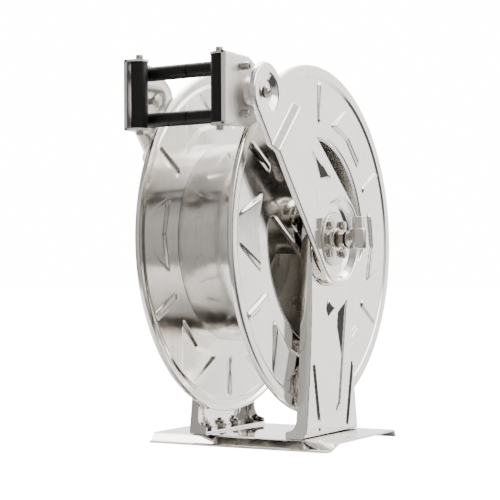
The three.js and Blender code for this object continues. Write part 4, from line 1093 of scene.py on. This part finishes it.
class REEL_OT_rollers(bpy.types.Operator):
    """Adds the six rollers, their rods and bolts"""

    bl_idname = "reel.rollers"
    bl_label = "Rollers"

    def execute(self, context):
        for label, z in (("upper", 33), ("lower", -33)):
            for end, side in SIDES:
                sleeve = turned([(0.5, 3.4), (80, 3.4), (80, 10.3), (0.5, 10.3)],
                                [0.3, 0.3, 1, 0.8])
                if side < 0:
                    sleeve.transform(MIRROR)
                sleeve.transform(Matrix.Translation((0, -36, z)))
                name = f"{label}_roller_{end}"
                finish_piece(sleeve, f"{name}_sleeve", HEAD, black_nylon(), f"{name}_body",
                             (name,))
            rod = joined(
                hexagon(10, 84.3, 98.3, bore=3), hexagon(10, -98.3, -84.3, bore=3),
                shank(3, -94, 94))
            rod.transform(Matrix.Translation((0, -36, z)))
            finish_piece(rod, f"{label}_rod_and_nuts", HEAD, fastener_stainless(),
                         "guide_head", (f"{label}_rod",))
        for label, side in SIDES:
            sleeve = turned([(-46.25, 3.4), (46.25, 3.4), (46.25, 12), (-46.25, 12)],
                            [0.3, 0.3, 1, 1])
            place = Matrix.Translation((side * 65.5, -62, 0)) @ UPRIGHT
            sleeve.transform(place)
            name = f"{label}_upright_roller"
            finish_piece(sleeve, f"{name}_sleeve", HEAD, black_nylon(), f"{name}_body",
                         (name,))
            bolt = joined(
                hexagon(10, 51.25, 57.05), hexagon(10, -56.05, -50.05),
                turned([(50.05, 3), (51.2, 3), (51.2, 7), (50.05, 7)], [0, 0, 0.3, 0.3], 48),
                shank(3, -57, 51.5))
            bolt.transform(place)
            finish_piece(bolt, f"{label}_roller_screw", HEAD, fastener_stainless(),
                         "guide_head", (f"{label}_roller_bolt",))
        return {"FINISHED"}


# ------------------------------------------------------------------ stage


class REEL_OT_stage(bpy.types.Operator):
    """Adds the floor, the light and the camera"""

    bl_idname = "reel.stage"
    bl_label = "Studio"

    def execute(self, context):
        self.floor("floor", Vector((-30, -30)), Vector((30, 30)), 0.0, shown=True)
        self.floor("table", Vector((-1.6, -0.65)), Vector((0.3, 4.0)), -0.0005, shown=False)
        self.light()
        self.camera()
        return {"FINISHED"}

    def floor(self, name, low, high, height, shown):
        """The white floor that the camera sees, or the smaller table that lights the reel."""
        finish, tree, shader = new_finish("white_" + name)
        shader.inputs["Base Color"].default_value = (*[0.8 * c for c in colours().floor], 1)
        shader.inputs["Roughness"].default_value = 0.8
        shader.inputs["Specular IOR Level"].default_value = 0.0
        if shown:
            shader.inputs["Emission Color"].default_value = (1, 1, 1, 1)
            shader.inputs["Emission Strength"].default_value = BACKDROP
        ground = bmesh.new()
        bmesh.ops.create_grid(ground, x_segments=1, y_segments=1, size=0.5)
        size, middle = high - low, (high + low) / 2
        ground.transform(
            Matrix.Translation((middle.x, middle.y, height))
            @ Matrix.Diagonal((size.x, size.y, 1, 1)))
        mesh = bpy.data.meshes.new(name)
        ground.to_mesh(mesh)
        ground.free()
        mesh.materials.append(finish)
        floor = bpy.data.objects.new(name, mesh)
        bpy.context.scene.collection.objects.link(floor)
        floor.visible_camera = shown
        floor.visible_glossy = not shown
        floor.visible_diffuse = not shown
        floor.visible_shadow = not shown

    def light(self):
        """A white room whose walls differ: each sector of the compass has its own ramp."""
        world = bpy.data.worlds.new("studio")
        bpy.context.scene.world = world
        world.use_nodes = True
        tree = world.node_tree
        way = add_node(tree, "ShaderNodeTexCoord").outputs["Generated"]
        split = add_node(tree, "ShaderNodeSeparateXYZ", {"Vector": way})
        height = add_node(
            tree, "ShaderNodeMapRange", {"Value": split.outputs["Z"], "From Min": -1.0})
        compass = add_node(
            tree, "ShaderNodeMath", {0: split.outputs["X"], 1: split.outputs["Y"]},
            operation="ARCTAN2")
        room = self.ramp(tree, height, FRONT_LIGHT)
        for start, end, soft, stops in SECTORS:
            enter = self.gate(tree, compass, start - soft, start + soft)
            leave = self.gate(tree, compass, end + soft, end - soft)
            share = add_node(
                tree, "ShaderNodeMath",
                {0: enter.outputs["Result"], 1: leave.outputs["Result"]},
                operation="MULTIPLY")
            room = add_node(
                tree, "ShaderNodeMix",
                {"Factor": share.outputs["Value"], "A": room,
                 "B": self.ramp(tree, height, stops)}, data_type="FLOAT").outputs["Result"]
        seen = add_node(tree, "ShaderNodeLightPath").outputs["Is Camera Ray"]
        shown = add_node(
            tree, "ShaderNodeMix", {"Factor": seen, "A": room, "B": BACKDROP},
            data_type="FLOAT")
        shade = tree.nodes["Background"]
        shade.inputs["Color"].default_value = (1.0, 0.985, 0.965, 1)
        tree.links.new(shown.outputs["Result"], shade.inputs["Strength"])

    def gate(self, tree, compass, low, high):
        """0 before one compass angle and 1 after another, in degrees from the rear."""
        return add_node(
            tree, "ShaderNodeMapRange",
            {"Value": compass.outputs["Value"], "From Min": math.radians(low),
             "From Max": math.radians(high)}, interpolation_type="SMOOTHSTEP")

    def ramp(self, tree, height, stops):
        """Brightness by elevation: stops are degrees above the horizon and a strength."""
        curve = add_node(tree, "ShaderNodeValToRGB", {"Fac": height.outputs["Result"]})
        steps = curve.color_ramp.elements
        top = max(strength for _, strength in stops)
        for i, (degrees, strength) in enumerate(stops):
            place = (math.sin(math.radians(degrees)) + 1) / 2
            step = steps[i] if i < len(steps) else steps.new(place)
            step.position = place
            step.color = (*[strength / top] * 3, 1)
        scaled = add_node(
            tree, "ShaderNodeMath", {0: curve.outputs["Color"], 1: top}, operation="MULTIPLY")
        return scaled.outputs["Value"]

    def camera(self):
        data = bpy.data.cameras.new("camera")
        data.lens = 1400.4 * 36 / 500
        data.clip_end = 100
        view = bpy.data.objects.new("camera", data)
        azimuth, elevation, roll = (math.radians(a) for a in (29.61, -1.2155, -0.38))
        back = Vector((
            math.sin(azimuth) * math.cos(elevation),
            -math.cos(azimuth) * math.cos(elevation), math.sin(elevation),
        ))
        turn = back.to_track_quat("Z", "Y").to_matrix().to_4x4()
        place = Vector((1.0393, -1.9019 + axle.y, 0.2469))
        view.matrix_world = Matrix.Translation(place) @ turn @ Matrix.Rotation(roll, 4, "Z")
        bpy.context.scene.collection.objects.link(view)
        bpy.context.scene.camera = view


FRONT_LIGHT = (
    (-90, 0.3), (-14, 0.3), (-4, 0.42), (8, 0.45), (20, 0.75), (32, 0.7), (42, 0.3),
    (52, 0.4), (63, 0.9), (74, 1.8), (89, 4.0),
)
REAR_LIGHT = (
    (-90, 1.6), (-12, 2.4), (0, 2.65), (25, 2.8), (45, 5.0), (62, 14.0), (72, 14.0),
    (89, 4.0),
)
GAP_LIGHT = (
    (-90, 1.6), (-28, 1.6), (-23, 0.12), (9, 0.1), (13, 6.0), (34, 6.0), (44, 2.5), (62, 8.0),
    (89, 4.0),
)
CORNER_LIGHT = (
    (-90, 1.6), (-11, 2.1), (-9, 0.1), (-0.95, 0.1), (0.0, 2.1), (2.4, 2.1), (4, 0.06),
    (10.5, 0.06), (14, 5.0), (34, 6.0), (44, 2.5), (62, 8.0), (89, 4.0),
)
SIDE_LIGHT = (
    (-90, 1.6), (-29, 1.6), (-24, 0.12), (-5, 0.12), (1, 0.95), (10, 1.1), (14, 7.0), (33, 7.0),
    (39, 1.5), (60, 2.2), (75, 4.0), (89, 4.0),
)
WALL_LIGHT = (
    (-90, 1.5), (-35, 1.0), (-20, 0.5), (-8, 0.72), (9, 0.72), (20, 0.85), (42, 0.5), (63, 1.2), (74, 2.4),
    (89, 4.0),
)
# Compass sectors in degrees from the rear towards the right: start, end, softness, ramp.
SECTORS = (
    (52, 90, 3, SIDE_LIGHT), (40, 53, 1.2, GAP_LIGHT), (32, 41.2, 1.2, CORNER_LIGHT),
    (-75, 32.6, 1.2, REAR_LIGHT), (-182, -151.3, 0.5, WALL_LIGHT), (86, 182, 4, WALL_LIGHT),
)
BACKDROP = 16.0


# ------------------------------------------------------------------ panel


class VIEW3D_PT_reel(bpy.types.Panel):
    """Lists the reel's pieces"""

    bl_label = "Hose Reel"
    bl_space_type = "VIEW_3D"
    bl_region_type = "UI"
    bl_category = "Hose Reel"

    def draw(self, context):
        column = self.layout.column()
        for step in STEPS:
            column.operator(step.bl_idname)
        for group in (context.scene.reel_sizes, context.scene.reel_colours):
            for name in group.__annotations__:
                column.prop(group, name)


class REEL_OT_cad_finishes(bpy.types.Operator):
    """Gives the CAD nodes that stay in view their finish"""

    bl_idname = "reel.cad_finishes"
    bl_label = "Finishes of the plain pieces"

    def execute(self, context):
        finishes = {
            "polished_steel": polished_stainless(), "satin_steel": satin_stainless(),
            "fastener_steel": fastener_stainless(), "spring_steel": spring_steel(),
            "black_nylon": black_nylon(), "brass": dull_brass(), "bronze": dull_brass(),
        }
        for entry in frame["record"]["subparts"]:
            node = frame["nodes"][entry["node"]]
            node.data.materials.clear()
            node.data.materials.append(finishes[entry["material_slot"]])
        return {"FINISHED"}


STEPS = (
    REEL_OT_stage, REEL_OT_flanges, REEL_OT_drum, REEL_OT_hub_tube, REEL_OT_arms,
    REEL_OT_pedestals, REEL_OT_base, REEL_OT_foot_bolts, REEL_OT_hub, REEL_OT_inlet,
    REEL_OT_head, REEL_OT_rollers, REEL_OT_cad_finishes,
)
CLASSES = (ReelSizes, ReelColours, *STEPS, VIEW3D_PT_reel)


def register():
    for cls in CLASSES:
        bpy.utils.register_class(cls)
    bpy.types.Scene.reel_sizes = PointerProperty(type=ReelSizes)
    bpy.types.Scene.reel_colours = PointerProperty(type=ReelColours)


def unregister():
    del bpy.types.Scene.reel_sizes
    del bpy.types.Scene.reel_colours
    for cls in reversed(CLASSES):
        bpy.utils.unregister_class(cls)


def main():
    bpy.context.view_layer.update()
    register()
    for step in STEPS:
        space, name = step.bl_idname.split(".")
        getattr(getattr(bpy.ops, space), name)()


if __name__ == "__main__":
    main()
